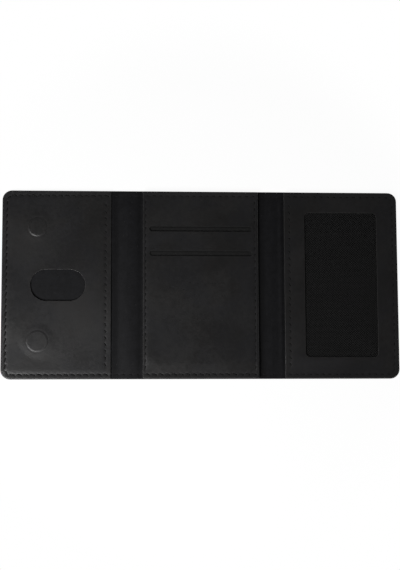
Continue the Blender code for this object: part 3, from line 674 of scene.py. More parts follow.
lining_cloth = make_cloth(
    "woven_lining", (0.0027, 0.0027, 0.0031), (0.0074, 0.0074, 0.0085),
    threads=2.4, depth=0.008 * MM, roughness=0.5, lint=0.4,
)
# Painted shade: a darker, duller copy of the lining for the cloth behind the window's net
lining_painted_shade = make_cloth(
    "lining_painted_shade", (0.0008, 0.0008, 0.0009), (0.0022, 0.0022, 0.0024),
    threads=2.4, depth=0.008 * MM, roughness=0.8, sheen=0.02,
)
facing_cloth = make_cloth(
    "woven_facing", (0.0050, 0.0050, 0.0054), (0.0085, 0.0085, 0.0092),
    threads=3.0, depth=0.006 * MM, roughness=0.5,
)
pocket_cloth = make_cloth(
    "woven_pocket", (0.0062, 0.0061, 0.0061), (0.0112, 0.0110, 0.0110),
    threads=3.4, depth=0.006 * MM, roughness=0.5,
)
print("cloths:", [made.name for made in (lining_cloth, lining_painted_shade, facing_cloth, pocket_cloth)])


# %% Thread materials
def make_thread(name, dark, pale, twist_per_mm, roughness, sheen):
    """Twisted yarn: slanting bands of fibre that shade from dark to pale."""
    material, tree, shader = new_material(name, Roughness=roughness, Specular_IOR_Level=sheen)
    place = rest_place(tree)
    values = {"Vector": place, "Scale": twist_per_mm, "Distortion": 0.6, "Detail": 2.0}
    bands = add_node(tree, "TexWave", values, wave_type="BANDS", bands_direction="DIAGONAL").outputs[1]
    tree.links.new(blend_colours(tree, bands, (*dark, 1), (*pale, 1)), shader.inputs["Base Color"])
    bump(tree, shader, bands, 0.03 * MM)
    return material


stitch_thread = make_thread(
    "stitch_thread", (0.0020, 0.0020, 0.0020), (0.0048, 0.0046, 0.0046),
    twist_per_mm=0.9, roughness=0.75, sheen=0.15,
)
net_thread = make_thread(
    "net_thread", (0.0087, 0.0087, 0.0087), (0.0107, 0.0107, 0.0107),
    twist_per_mm=3.0, roughness=0.75, sheen=0.10,
)
print("threads:", stitch_thread.name, net_thread.name)

# %% [markdown]
# The seams come before the leathers, because the leather is drawn in along them. A line of
# stitches is a path with an even pitch. Each stitch has a middle, a direction and two holes, and
# the same list later gives the leather its dents and the thread its place.

# %% Along a seam
STITCH_PITCH = 3.62 * MM
LOOK_AHEAD = 0.3 * MM  # a seam's direction is taken between points this far to either side


def along_path(path, pitch):
    """Evenly spaced middles and directions along a polyline. The pitch is fitted to its length."""
    path = np.array(path)
    steps = np.linalg.norm(np.diff(path, axis=0), axis=1)
    run = np.concatenate([[0], np.cumsum(steps)])
    count = max(1, round(run[-1] / pitch))
    at = (np.arange(count) + 0.5) * run[-1] / count
    middles, ahead, behind = (
        np.column_stack([np.interp(at + shift, run, path[:, k]) for k in range(2)])
        for shift in (0, LOOK_AHEAD, -LOOK_AHEAD)
    )
    directions = ahead - behind
    return middles, directions / np.linalg.norm(directions, axis=1)[:, None]


print("stitches in 100 mm:", len(along_path([(0, 0), (100 * MM, 0)], STITCH_PITCH)[0]))


# %% Seams
# Slant off the seam's line in degrees, then length, thread radius and groove depth in millimetres
OUTLINE_STITCH = (-15, 3.0, 0.34, 0.020)
FOOT_STITCH = (-15, 3.1, 0.37, 0.042)
HEM_STITCH = (30, 1.9, 0.30, 0.038)
FINE_STITCH = (-10, 2.1, 0.24, 0.035)
USUAL_RADIUS = 0.36 * MM  # a thicker thread dents the leather more
UNDER_THREAD, AT_HOLE = 0.045, 0.04  # depths of the dents in millimetres
GROOVE_WIDTH, HOLE_WIDTH = 0.6 * MM, 0.40 * MM
RASTER_AHEAD, RASTER_ASIDE = np.arange(-4, 5) * 0.4 * MM, np.arange(-3, 4) * 0.3 * MM


class Seam:
    """The stitches of one body: their middles, directions, slants and sizes."""

    def __init__(self, runs):
        parts = [along_path(path, STITCH_PITCH) for path, _ in runs]
        self.middles = np.concatenate([middles for middles, _ in parts])
        self.directions = np.concatenate([directions for _, directions in parts])
        styles = np.array([style for part, (_, style) in zip(parts, runs) for _ in part[0]])
        self.slants = np.radians(styles[:, 0])
        self.lengths, self.radii, self.grooves = styles[:, 1:].T * MM

    def leaning(self):
        """The directions of the threads themselves."""
        cos, sin = np.cos(self.slants), np.sin(self.slants)
        x, y = self.directions[:, 0], self.directions[:, 1]
        return np.column_stack([x * cos - y * sin, x * sin + y * cos])

    def fine_points(self):
        """A small raster round each stitch, for the dents in the sheet."""
        points = []
        for middle, ahead in zip(self.middles, self.directions):
            side = np.array((-ahead[1], ahead[0]))
            for a in RASTER_AHEAD:
                points += [middle + a * ahead + b * side for b in RASTER_ASIDE]
        return np.array(points)

    def dent(self, points):
        """How far the thread draws the sheet down: a shallow groove, deeper at the holes."""
        tree = flat_tree(self.middles)
        nearest = np.array([tree.find((x, y, 0))[1] for x, y in points])
        offset = points - self.middles[nearest]
        run, lean = self.directions[nearest], self.leaning()[nearest]
        off_seam = offset[:, 1] * run[:, 0] - offset[:, 0] * run[:, 1]
        along = np.abs((offset * lean).sum(axis=1))
        across = offset[:, 1] * lean[:, 0] - offset[:, 0] * lean[:, 1]
        length, size = self.lengths[nearest], self.radii[nearest] / USUAL_RADIUS
        beside = 1 - smooth(along / length, 0.38, 0.66)
        pressed = UNDER_THREAD * beside * np.exp(-((across / GROOVE_WIDTH) ** 2))
        to_hole = np.hypot(along - length / 2, across)
        pressed = pressed + AT_HOLE * np.exp(-((to_hole / HOLE_WIDTH) ** 2))
        groove = self.grooves[nearest] * np.exp(-((off_seam / GROOVE_WIDTH) ** 2))
        return groove + MM * size * pressed


print("stitch styles, thread radii in mm:", [style[2] for style in (OUTLINE_STITCH, HEM_STITCH, FINE_STITCH)])


# %% Where the seams run
SEAM_TOP, SEAM_BOTTOM = TOP_EDGE - 3.0 * MM, -TOP_EDGE + 2.45 * MM
SEAM_LEFT = LEFT_END + 2.5 * MM
SEAM_RIGHT = RIGHT_END - 3.1 * MM
LEFT_HEM = LEFT_FLAP_FOLD - 3.15 * MM
RIGHT_HEM = RIGHT_FLAP_FOLD + 2.95 * MM
MIDDLE_SEAM_LEFT, MIDDLE_SEAM_RIGHT = LEFT_SPINE_FOLD + 1.5 * MM, RIGHT_SPINE_FOLD - 2.1 * MM
SEAM_CORNER = 3.6 * MM
SPINE_END = 1.0 * MM
SIDE_END = 2 * MM


def corner_path(x, y, to_x, to_y, start, turn_by):
    """The arc of a seam round one corner, about a centre inside it."""
    centre = np.array((x + to_x * SEAM_CORNER, y + to_y * SEAM_CORNER))
    angles = np.radians(start) + np.radians(turn_by) * np.linspace(0, 1, 9)
    return [tuple(centre + SEAM_CORNER * np.array((math.cos(a), math.sin(a)))) for a in angles]


def flap_path(side_x, hem_x, to_x):
    """Round a flap from its hem along one edge, round both corners and back, as one line."""
    lower = corner_path(side_x, SEAM_BOTTOM, to_x, 1, 270, -90 * to_x)
    upper = corner_path(side_x, SEAM_TOP, to_x, -1, 90 + 90 * to_x, -90 * to_x)
    return [(hem_x, SEAM_BOTTOM), *lower, *upper, (hem_x, SEAM_TOP)]


def upright(x, margin):
    """A seam up the holder, a margin short of the lower and upper seams."""
    return [(x, SEAM_BOTTOM + margin), (x, SEAM_TOP - margin)]


def level(y, low, high):
    """A seam along the holder between two fold lines."""
    return [(low + SPINE_END, y), (high - SPINE_END, y)]


left_flap_seam = Seam([
    (flap_path(SEAM_LEFT, LEFT_FLAP_FOLD - SPINE_END, 1), OUTLINE_STITCH),
    (upright(LEFT_HEM, STITCH_PITCH), HEM_STITCH),
])
right_flap_seam = Seam([
    (flap_path(SEAM_RIGHT, RIGHT_FLAP_FOLD + SPINE_END, -1), FINE_STITCH),
    (upright(RIGHT_HEM, STITCH_PITCH), HEM_STITCH),
])
middle_seam = Seam([
    (level(SEAM_TOP, LEFT_SPINE_FOLD, RIGHT_SPINE_FOLD), FINE_STITCH),
    (level(SEAM_BOTTOM, LEFT_SPINE_FOLD, RIGHT_SPINE_FOLD), FOOT_STITCH),
    (upright(MIDDLE_SEAM_LEFT, SIDE_END), FINE_STITCH),
    (upright(MIDDLE_SEAM_RIGHT, SIDE_END), FINE_STITCH),
])
spine_seams = {
    name: Seam([(level(y, low, high), FINE_STITCH) for y in (SEAM_TOP, SEAM_BOTTOM)])
    for name, low, high in (
        ("left_spine", LEFT_FLAP_FOLD, LEFT_SPINE_FOLD),
        ("right_spine", RIGHT_SPINE_FOLD, RIGHT_FLAP_FOLD),
    )
}
print("stitches:", {
    "left flap": len(left_flap_seam.middles), "middle": len(middle_seam.middles),
    "right flap": len(right_flap_seam.middles), "spines": sum(len(s.middles) for s in spine_seams.values()),
})

# %% [markdown]
# Each inner leather is level over what it covers and settles a little towards its seams, where the
# thread holds it down. How much depends on the side, so the drop is summed from the four edges.
# Its underside climbs from the lining at the rim onto the inserts. Where the two part, the sheet is
# thicker: there the real one is backed with a strip of the same leather, glued edge to edge.

# %% Height tools
def rise_share(points, outer, inner, power):
    """0 outside the outer ring, 1 inside the inner one, easing out in between."""
    from_outer, to_inner = np.maximum(outer.depth(points), 0), np.maximum(-inner.depth(points), 0)
    along = from_outer / np.maximum(from_outer + to_inner, 1e-9)
    return 1 - (1 - along) ** power


def from_sides(points, outline):
    """How far each point lies from the left, bottom, right and top sides."""
    (left, bottom), (right, top) = outline.low, outline.high
    x, y = points.T
    return x - left, y - bottom, right - x, top - y


def settled(points, outline, drops, reach, start):
    """How far a leather sinks towards its left, bottom, right and top seams, steepest at the seam."""
    return sum(
        drop * np.clip(1 - (distance - start) / reach, 0, 1) ** 2
        for distance, drop in zip(from_sides(points, outline), drops)
    )


def sloping(points, outline, drops, reach, start=1.5 * MM):
    """A slow fall towards the left, bottom, right and top edges over a wide band."""
    return sum(
        drop * (1 - smooth(distance, start, start + reach))
        for distance, drop in zip(from_sides(points, outline), drops)
    )


def waviness(points, length, height, seed):
    """Slow unevenness, as hand-laid leather has. The seed shifts the noise to another place."""
    shift = Vector((seed, 0.3 * seed, 0.7 * seed))
    return height * np.array([noise.noise(Vector((x, y, 0)) / length + shift) for x, y in points])


def lip(points, shape, drop, width):
    """How far the leather rolls down towards a cut hole."""
    away = np.maximum(-shape.depth(points), 0)
    return drop * np.exp(-((away / width) ** 2))


def box_outline(node, radii):
    """The outline of a solid seen from above, with corners of our own."""
    low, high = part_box(node)
    return Outline(low.x, high.x, low.y, high.y, radii)


LEATHER_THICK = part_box("leather_middle")[1].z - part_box("pocket_cloth_lower")[1].z - 0.1 * MM
RIM_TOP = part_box("leather_left")[0].z + LEATHER_THICK
LEATHER_EDGE, PUNCHED_EDGE = 0.17 * MM, 0.04 * MM  # how far a cut edge and a hole's are rounded
FLAP_CORNER, HEM_CORNER = 4.9 * MM, 0.3 * MM
UNEVEN = 0.03 * MM
OPEN_PAST = 20 * MM  # an outline runs on this far past a side towards which nothing falls
print("leather, mm:", round(LEATHER_THICK / MM, 2), "rim top:", round(RIM_TOP / MM, 2))

# %% [markdown]
# The left pocket front is open towards its spine, where its hem is sewn, and has a thumb slot. Two
# closing magnets swell it: the leather is stretched over each disc, so it climbs gently at first,
# then steeply up the disc's side, and is flat on top.

# %% Swellings over the closing magnets
# Each swelling's middle off its magnet's, its radius, the rise of the wide tent and that of the
# disc's side, all in millimetres, and its tilt towards the lower left
UPPER_SWELLING = ((-0.4, 0.3), 5.0, 0.12, 0.12, 0.6)
LOWER_SWELLING = ((0, 0), 5.6, 0.13, 0.085, 0.1)
PRESSED_IN = 0.015 * MM
MAGNET_ROOM = 0.02 * MM
latch_boxes = [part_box(f"latch_magnet_left_{side}") for side in ("upper", "lower")]
latch_middles = [((low.x + high.x) / 2, (low.y + high.y) / 2) for low, high in latch_boxes]
LATCH_RADIUS = (latch_boxes[0][1].x - latch_boxes[0][0].x) / 2
LEFT_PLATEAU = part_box("facing_left")[1].z + 0.05 * MM + LEATHER_THICK


def bump_shape(points, middle, radius, tent_rise, side_rise, tilt):
    """The swelling over one disc magnet: a wide gentle tent, and the leather drawn over its rim."""
    offset = points - np.array(middle)
    away = np.hypot(offset[:, 0], offset[:, 1])
    tent = 1 - smooth(away, radius + 0.2 * MM, radius + 5.0 * MM)
    side = 1 - smooth(away, radius - 0.5 * MM, radius + 0.5 * MM)
    to_corner = -(offset[:, 0] + offset[:, 1]) / (math.sqrt(2) * radius)
    pressed = np.exp(-(((away - radius - 0.5 * MM) / (0.35 * MM)) ** 2))
    return tent_rise * tent + side_rise * side * (1 + tilt * to_corner) - PRESSED_IN * pressed


def swelling(points):
    """Both swellings. The upper disc lies tilted in its pocket, so it shows on one side only."""
    height = np.zeros(len(points))
    for (x, y), (shift, radius, tent, side, tilt) in zip(latch_middles, (UPPER_SWELLING, LOWER_SWELLING)):
        middle = (x + shift[0] * MM, y + shift[1] * MM)
        height = height + bump_shape(points, middle, radius * MM, tent * MM, side * MM, tilt)
    return height


def over_magnets(points):
    """The leather is pared away from behind over each disc, down to the disc's own height."""
    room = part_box("latch_magnet_left_upper")[1].z + MAGNET_ROOM - (LEFT_PLATEAU - LEATHER_THICK)
    pared = np.zeros(len(points))
    for middle in latch_middles:
        away = np.hypot(points[:, 0] - middle[0], points[:, 1] - middle[1])
        pared = np.maximum(pared, room * (1 - smooth(away, LATCH_RADIUS + 0.1 * MM, LATCH_RADIUS + 0.5 * MM)))
    return pared


def rings_round(middle, radii, spacing):
    """Points on circles, for a fine mesh on a round feature."""
    points = []
    for radius in radii:
        count = max(6, round(2 * math.pi * radius / spacing))
        turns = 2 * math.pi * np.arange(count) / count
        points += [(middle[0] + radius * math.cos(t), middle[1] + radius * math.sin(t)) for t in turns]
    return np.array(points)


print("closing magnets at, mm:", [(round(x / MM, 1), round(y / MM, 1)) for x, y in latch_middles])

# %% Left pocket front
left_low, left_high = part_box("leather_left")
left_outline = box_outline("leather_left", (FLAP_CORNER, HEM_CORNER, HEM_CORNER, FLAP_CORNER))
left_open = Outline(left_low.x, left_high.x + OPEN_PAST, left_low.y, left_high.y, FLAP_CORNER)
THUMB_LENGTH, THUMB_WIDTH, THUMB_DROP = 30.0 * MM, 17.3 * MM, 0.6 * MM
THUMB_X = LEFT_FLAP_FOLD - 14.2 * MM - THUMB_LENGTH / 2
thumb_slot = Outline(
    THUMB_X - THUMB_LENGTH / 2, THUMB_X + THUMB_LENGTH / 2,
    -THUMB_DROP - THUMB_WIDTH / 2, -THUMB_DROP + THUMB_WIDTH / 2, THUMB_WIDTH / 2,
)


def left_top(points):
    """Sunk along the outer seams, most of all higher up, and full across its lower half."""
    y = points[:, 1]
    side_share = 0.45 + 0.55 * smooth(y, -30 * MM, 20 * MM)
    height = LEFT_PLATEAU - settled(points, left_open, (0.26 * MM, 0, 0, 0), 5.5 * MM, 0.3 * MM) * side_share
    height = height - settled(points, left_open, (0, 0, 0, -0.12 * MM), 4.5 * MM, 0)
    height = height - settled(points, left_open, (0, 0.08 * MM, 0, 0), 2.6 * MM, 2.6 * MM)
    height = height + 0.25 * MM * np.exp(-(((y + 15 * MM) / (24 * MM)) ** 2))
    slope = sloping(points, left_open, (0.52 * MM, 0, 0, 0), 22 * MM)
    height = height - slope * smooth(y, -22 * MM, 26 * MM)
    height = height + swelling(points) + waviness(points, 23 * MM, UNEVEN, 3.1)
    return height - left_flap_seam.dent(points)


def left_under(points):
    share = rise_share(points, left_open.inset(2.9 * MM), left_open.inset(6.2 * MM), 2.4)
    return RIM_TOP + share * (LEFT_PLATEAU - RIM_TOP) - LEATHER_THICK + over_magnets(points)


# Rings on top of each disc, closer ones down its side, and wider ones on the tent round it
ring_ranges = ((0.8, 4.2, 0.8), (4.4, 6.6, 0.18), (6.9, 9.2, 0.4))
bump_radii = np.concatenate([np.arange(*ring_range) for ring_range in ring_ranges]) * MM
left_fine = [rings_round(middle, bump_radii, 0.5 * MM) for middle in latch_middles]
left_front = make_sheet(
    "left_pocket_front", left_outline, left_top, left_under, holes=[thumb_slot],
    edge=LEATHER_EDGE, hole_edge=PUNCHED_EDGE,
    fine=np.concatenate([*left_fine, left_flap_seam.fine_points()]),
    materials=(inner_leather, cut_edge, dyed_edge_and_rim_shade),
)
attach(left_front, "left_flap")
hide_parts("leather_left")
print("left pocket front:", len(left_front.data.polygons), "faces")

# %% [markdown]
# The middle front covers the stiff magnet carrier, so its plateau is the highest. Its two card
# slots were punched with a blunt die: the leather dips towards them, and a thin dark rim round
# each is edge dye run onto the face together with painted shade.

# %% Middle pocket front
middle_low, middle_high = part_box("leather_middle")
SLOT_LENGTH, SLOT_HEIGHT = 56.5 * MM, 2.6 * MM
SLOT_X = MIDDLE_X + 0.1 * MM
SLOT_YS = (TOP_EDGE - 21.3 * MM, TOP_EDGE - 34.9 * MM)
MIDDLE_PLATEAU = middle_high.z - 0.06 * MM
middle_outline = box_outline("leather_middle", 0.5 * MM)
card_slots = [
    Outline(
        SLOT_X - SLOT_LENGTH / 2, SLOT_X + SLOT_LENGTH / 2,
        y - SLOT_HEIGHT / 2, y + SLOT_HEIGHT / 2, SLOT_HEIGHT / 2,
    )
    for y in SLOT_YS
]
# The carrier's lower left corner shows through as a soft step
carrier_step = Outline(
    middle_low.x + 4.6 * MM, middle_high.x + OPEN_PAST,
    middle_low.y + 9.0 * MM, middle_high.y + OPEN_PAST, 5.5 * MM,
)
STEP_DROP, RIGHT_EDGE_DROP, FOOT_RISE = 0.30 * MM, 0.30 * MM, 0.45 * MM


def middle_top(points):
    """Level over the carrier, with its step at the lower left and a worn right edge."""
    x, y = points.T
    drops = (0.05 * MM, 0, 0, -0.13 * MM)
    height = MIDDLE_PLATEAU - settled(points, middle_outline, drops, 4.5 * MM, 0.2 * MM)
    height = height - settled(points, middle_outline, (0, 0, -0.08 * MM, 0), 2.0 * MM, 0)
    lower = 1 - smooth(y, -32 * MM, -8 * MM)
    height = height - STEP_DROP * lower * smooth(-carrier_step.depth(points), 0, 7.5 * MM)
    height = height - RIGHT_EDGE_DROP * (1 - smooth(middle_outline.high[0] - x, 0, 0.75 * MM))
    height = height + FOOT_RISE * smooth(-y, 20 * MM, 46 * MM)
    height = height + waviness(points, 26 * MM, UNEVEN, 8.4)
    for slot in card_slots:
        height = height - lip(points, slot, 0.01 * MM, 0.4 * MM)
    return height - middle_seam.dent(points)


def middle_under(points):
    """From the sewn rim up onto the carrier. Both rings have the carrier's corners."""
    outer, inner = middle_outline.inset(2.1 * MM, 2.5 * MM), middle_outline.inset(5.6 * MM, 9.6 * MM)
    outer.radii = inner.radii = np.full(4, 2.4 * MM)
    share = rise_share(points, outer, inner, 3.4)
    return RIM_TOP + share * (middle_high.z - RIM_TOP) - LEATHER_THICK


# The card slots get a dark rim: edge dye together with painted shade
middle_front = make_sheet(
    "middle_pocket_front", middle_outline, middle_top, middle_under, holes=card_slots,
    edge=LEATHER_EDGE, hole_edge=PUNCHED_EDGE, fine=middle_seam.fine_points(),
    materials=(inner_leather, cut_edge, dyed_edge_and_rim_shade), dyed_and_shaded_rim=0.36 * MM,
)
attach(middle_front, "middle")
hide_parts("leather_middle")
print("middle pocket front:", len(middle_front.data.polygons), "faces")

# %% [markdown]
# The right front is a frame round the window. Its outer rim is sewn down and its inner edge is
# cut raw, over the net that is glued behind it.

# %% Window frame
right_low, right_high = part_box("leather_right")
WINDOW = Outline(
    RIGHT_FLAP_FOLD + 11.5 * MM, RIGHT_END - 12.0 * MM,
    -TOP_EDGE + 11.8 * MM, TOP_EDGE - 11.8 * MM, 2.6 * MM,
)
right_outline = box_outline("leather_right", (HEM_CORNER, FLAP_CORNER, FLAP_CORNER, HEM_CORNER))
right_open = Outline(right_low.x - OPEN_PAST, right_high.x, right_low.y, right_high.y, FLAP_CORNER)


def right_top(points):
    """Level, but for a long slope down to the lower edge."""
    drops = (0, 0, 0.05 * MM, -0.07 * MM)
    height = right_high.z - settled(points, right_open, drops, 6.0 * MM, 0.3 * MM)
    height = height - sloping(points, right_open, (0, 0.84 * MM, 0, 0), 12.0 * MM)
    height = height + waviness(points, 22 * MM, UNEVEN, 5.7)
    return height - lip(points, WINDOW, 0.015 * MM, 0.4 * MM) - right_flap_seam.dent(points)


def right_under(points):
    share = rise_share(points, right_open.inset(2.9 * MM), right_open.inset(6.8 * MM), 2.8)
    return RIM_TOP + share * (right_high.z - RIM_TOP) - LEATHER_THICK


window_frame = make_sheet(
    "window_frame", right_outline, right_top, right_under, holes=[WINDOW],
    edge=LEATHER_EDGE, hole_edge=PUNCHED_EDGE, fine=right_flap_seam.fine_points(),
    materials=(inner_leather, cut_edge, dyed_edge_and_rim_shade),
)
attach(window_frame, "right_flap")
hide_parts("leather_right")
print("window frame:", len(window_frame.data.polygons), "faces")

# %% [markdown]
# The outer cover is one sheet of leather that bends at the four creases. A bend can join two
# bodies only, so the sheet is made in four stretches, parted along the middles of the spines and
# of the holder, where it never bends. Each stretch holds one crease, with close lines of points
# across it.

# %% Outer cover
COVER_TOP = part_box("cover_left")[1].z
COVER_CORNER = 5.3 * MM
CREASE_HALF = 0.7 * MM
SHEET_JOIN = 0.02 * MM  # corner radius where two stretches meet
OUTSIDE_DENT = 1.5  # the dents outside are this much deeper than inside


def crease_and_seams(fold, seams):
    """Columns of points close together across a crease, and a raster round every stitch."""
    columns = fold + np.linspace(-1.6, 1.6, 15) * CREASE_HALF
    rows = np.arange(-TOP_EDGE + 0.9 * MM, TOP_EDGE - 0.9 * MM, 1.2 * MM)
    crease = np.array([(x, y) for x in columns for y in rows])
    stitches = np.concatenate([seam.fine_points() for seam in seams])
    return np.concatenate([crease, apart(stitches, crease, 0.25 * MM)])


def flat_height(height):
    """The height function of a level surface."""
    return lambda points: np.full(len(points), height)


def cover_under(seams):
    """The height function of the outside, dented by its seams."""
    return lambda points: sum(OUTSIDE_DENT * seam.dent(points) for seam in seams)


# Each stretch: its ends, its fold, the bodies on either side of that, and the way that it opens
stretches = (
    ("left", LEFT_END, LEFT_SPINE_MIDDLE, LEFT_FLAP_FOLD, "left_spine", "left_flap", -1),
    ("middle_left", LEFT_SPINE_MIDDLE, MIDDLE_X, LEFT_SPINE_FOLD, "middle", "left_spine", -1),
    ("middle_right", MIDDLE_X, RIGHT_SPINE_MIDDLE, RIGHT_SPINE_FOLD, "middle", "right_spine", 1),
    ("right", RIGHT_SPINE_MIDDLE, RIGHT_END, RIGHT_FLAP_FOLD, "right_spine", "right_flap", 1),
)
seams_near = {
    "left": (left_flap_seam, spine_seams["left_spine"]),
    "middle_left": (middle_seam, spine_seams["left_spine"]),
    "middle_right": (middle_seam, spine_seams["right_spine"]),
    "right": (right_flap_seam, spine_seams["right_spine"]),
}
covers_for = {
    "left": ("cover_left", "cover_left_spine"), "middle_left": ("cover_middle",),
    "middle_right": ("cover_right_spine",), "right": ("cover_right",),
}


def stretch_outline(name, x_low, x_high, edge, corner):
    """The outline of one stretch, rounded only at the holder's own corners."""
    radii = {
        "left": (corner, SHEET_JOIN, SHEET_JOIN, corner),
        "right": (SHEET_JOIN, corner, corner, SHEET_JOIN),
    }.get(name, SHEET_JOIN)
    return Outline(
        x_low + (edge if name == "left" else 0), x_high - (edge if name == "right" else 0),
        -TOP_EDGE + edge, TOP_EDGE - edge, radii,
    )


def whole_outline(edge, corner):
    return Outline(LEFT_END + edge, RIGHT_END - edge, -TOP_EDGE + edge, TOP_EDGE - edge, corner)


for name, x_low, x_high, fold, near_body, far_body, outward in stretches:
    cover = make_sheet(
        f"outer_cover_{name}", stretch_outline(name, x_low, x_high, 0, COVER_CORNER),
        flat_height(COVER_TOP), cover_under(seams_near[name]), spacing=1.3 * MM, edge=0.2 * MM,
        fine=crease_and_seams(fold, seams_near[name]), materials=(outer_leather, cut_edge),
        whole=whole_outline(0, COVER_CORNER),
    )
    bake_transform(cover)
    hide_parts(*covers_for[name])
    print(cover.name, len(cover.data.polygons), "faces")

# %% [markdown]
# The lining is one cloth too, in the same four stretches. It is sewn in a little slack, so it
# arches over each spine and lies in slight folds along it. Shade is painted into its colour
# along its creases.

# %% Slack of the lining
LINING_THICK = 0.2 * MM
LINING_LOW = COVER_TOP + 0.05 * MM
LINING_INSET = 0.3 * MM
CARRIER = box_outline("magnet_carrier", 4.0 * MM)
BOARD = box_outline("board_right", 2.5 * MM)
MIDDLE_LINING_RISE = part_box("lining_middle")[1].z - LINING_LOW - LINING_THICK
RIGHT_LINING_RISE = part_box("lining_right")[1].z - LINING_LOW - LINING_THICK
FOLD_HEIGHT = 0.03 * MM
FLAT_AT_ENDS = 0.35  # the share of the slack that is left at a spine's sewn ends

# Places from a spine's left fold and the cloth's heights there, in millimetres
LEFT_SLACK = (
    (-4.5, 0), (-0.7, 0.09), (0.7, 0.08), (2.8, 0.0), (4.1, 0.01), (5.6, 0.13), (7.6, 0.26),
    (9.6, 0.33), (11.6, 0.32), (13.4, 0.24), (15.2, 0.11), (16.4, 0.02), (17.2, 0), (20, 0),
)
RIGHT_SLACK = (
    (-3, 0), (0, 0), (1.8, 0), (4.0, 0.05), (6.5, 0.12), (8.6, 0.10), (10.4, 0.04),
    (11.5, 0.04), (12.8, 0.15), (13.4, 0.09), (13.9, 0.01), (14.3, 0), (17, 0),
)
# The painted shade beside each crease: its fold, the side on which the cloth shows, its reach in
# millimetres, how dark the painted shade is, and how much of that is lost towards the top
PAINTED_CREASE_SHADES = (
    (LEFT_FLAP_FOLD, 1, 5.4, 0.40, 0), (LEFT_SPINE_FOLD, -1, 4.6, 0.40, 0),
    (RIGHT_SPINE_FOLD, 1, 5.0, 0.70, 0.4), (RIGHT_FLAP_FOLD, -1, 1.5, 0.30, 0),
)


def curve_through(knots, at):
    """A smooth curve through a few knots, with each knot's slope taken from its neighbours."""
    x, y = np.array(knots, float).T
    slope = np.gradient(y, x)
    i = np.clip(np.searchsorted(x, at) - 1, 0, len(x) - 2)
    width = x[i + 1] - x[i]
    t = np.clip((at - x[i]) / width, 0, 1)
    start, end = y[i] + slope[i] * width * t, y[i + 1] - slope[i + 1] * width * (1 - t)
    return start + (end - start) * t * t * (3 - 2 * t)


def slack(points, fold, knots, seed):
    """The slack of the cloth over a spine, with slight folds along it, flat at its sewn ends."""
    along = (points[:, 0] - fold) / MM
    to_ends = smooth(TOP_EDGE - np.abs(points[:, 1]), 1.5 * MM, 11.0 * MM)
    folds = waviness(points * (1, 0.07), 1.7 * MM, FOLD_HEIGHT, seed) * smooth(along, 2.5, 5.0)
    other_fold = knots[-2][0]
    folds = folds * (1 - smooth(along, other_fold - 4.0, other_fold - 1.0))
    return (MM * curve_through(knots, along) + folds) * (FLAT_AT_ENDS + (1 - FLAT_AT_ENDS) * to_ends)


def crease_shade_mask(points):
    """How much shade is painted on the cloth next to the four folds."""
    mask, upper = np.zeros(len(points)), smooth(points[:, 1], 0, 40 * MM)
    for fold, way, reach, dark, lost in PAINTED_CREASE_SHADES:
        beside = way * (points[:, 0] - fold) / MM
        in_crease = 1 - smooth(beside, 0.3 * reach, reach)
        in_crease = in_crease * (0.2 + 0.8 * smooth(np.abs(beside), 0.5, 1.5))
        mask = np.maximum(mask, dark * (1 - lost * upper) * in_crease * (beside > -1.0))
    return mask


print("slack in the middle of the left spine, mm:", float(curve_through(LEFT_SLACK, np.array([8.6]))[0]))


# %% Lining cloth
def lining_top(points):
    """Slack over the spines, raised by the inserts, and drawn in at the spines' seams."""
    height = LINING_LOW + LINING_THICK + slack(points, LEFT_FLAP_FOLD, LEFT_SLACK, 6.6)
    height = height + slack(points, RIGHT_SPINE_FOLD, RIGHT_SLACK, 2.3)
    for insert, rise in ((CARRIER, MIDDLE_LINING_RISE), (BOARD, RIGHT_LINING_RISE)):
        height = height + rise * smooth(insert.depth(points), -1.0 * MM, -0.1 * MM)
    for seam in spine_seams.values():
        height = height - 0.5 * seam.dent(points)
    return height


def lining_under(points):
    return lining_top(points) - LINING_THICK


def flat_points(piece):
    """Where the vertices of a piece lie, seen from above."""
    return vertex_places(piece.data).reshape(-1, 3)[:, :2].astype(float)


def shade_behind_net(cloth):
    """Gives the lining in the window pocket painted shade: a darker, duller copy of its material."""
    cloth.data.materials.append(lining_painted_shade)
    in_window = WINDOW.inset(-1.5 * MM).depth(flat_points(cloth)) > 0
    for face in cloth.data.polygons:
        if all(in_window[v] for v in face.vertices):
            face.material_index = 1


linings_for = {
    "left": ("lining_left", "lining_left_spine"), "middle_left": ("lining_middle",),
    "middle_right": ("lining_right_spine",), "right": ("lining_right",),
}
for name, x_low, x_high, fold, near_body, far_body, outward in stretches:
    outline = stretch_outline(name, x_low, x_high, LINING_INSET, COVER_CORNER - LINING_INSET)
    cloth = make_sheet(
        f"lining_cloth_{name}", outline, lining_top, lining_under, edge=0.05 * MM,
        fine=crease_and_seams(fold, seams_near[name][1:]), materials=(lining_cloth,),
        whole=whole_outline(LINING_INSET, COVER_CORNER - LINING_INSET),
    )
    # Painted shade beside the folds, kept for the cloth's material
    keep_values(cloth.data, "crease", crease_shade_mask(flat_points(cloth)))
    shade_behind_net(cloth)
    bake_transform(cloth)
    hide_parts(*linings_for[name])
    print(cloth.name, len(cloth.data.polygons), "faces")

# %% [markdown]
# Behind the pocket fronts lie thin cloths. The facing keeps the closing magnets in place, and
# each card slot opens in front of a pocket cloth, which shows in the slot as a dark strip, with
# shade painted on it under the slot's upper lip and along its foot.

# %% Thin cloths
CLOTH_WAVE, CLOTH_WAVE_LENGTH = 0.02 * MM, 16 * MM


def lay_cloth(name, node, outline, material, seed, holes=(), fine=()):
    """A cloth that fills the place of a thin solid, a little wavy."""
    def wavy(height):
        return lambda points: height + waviness(points, CLOTH_WAVE_LENGTH, CLOTH_WAVE, seed)

    low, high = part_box(node)
    cloth = make_sheet(
        name, outline, wavy(high.z), wavy(low.z), holes=holes,
        spacing=1.6 * MM, edge=0.03 * MM, fine=fine, materials=(material,),
    )
    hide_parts(node)
    return cloth


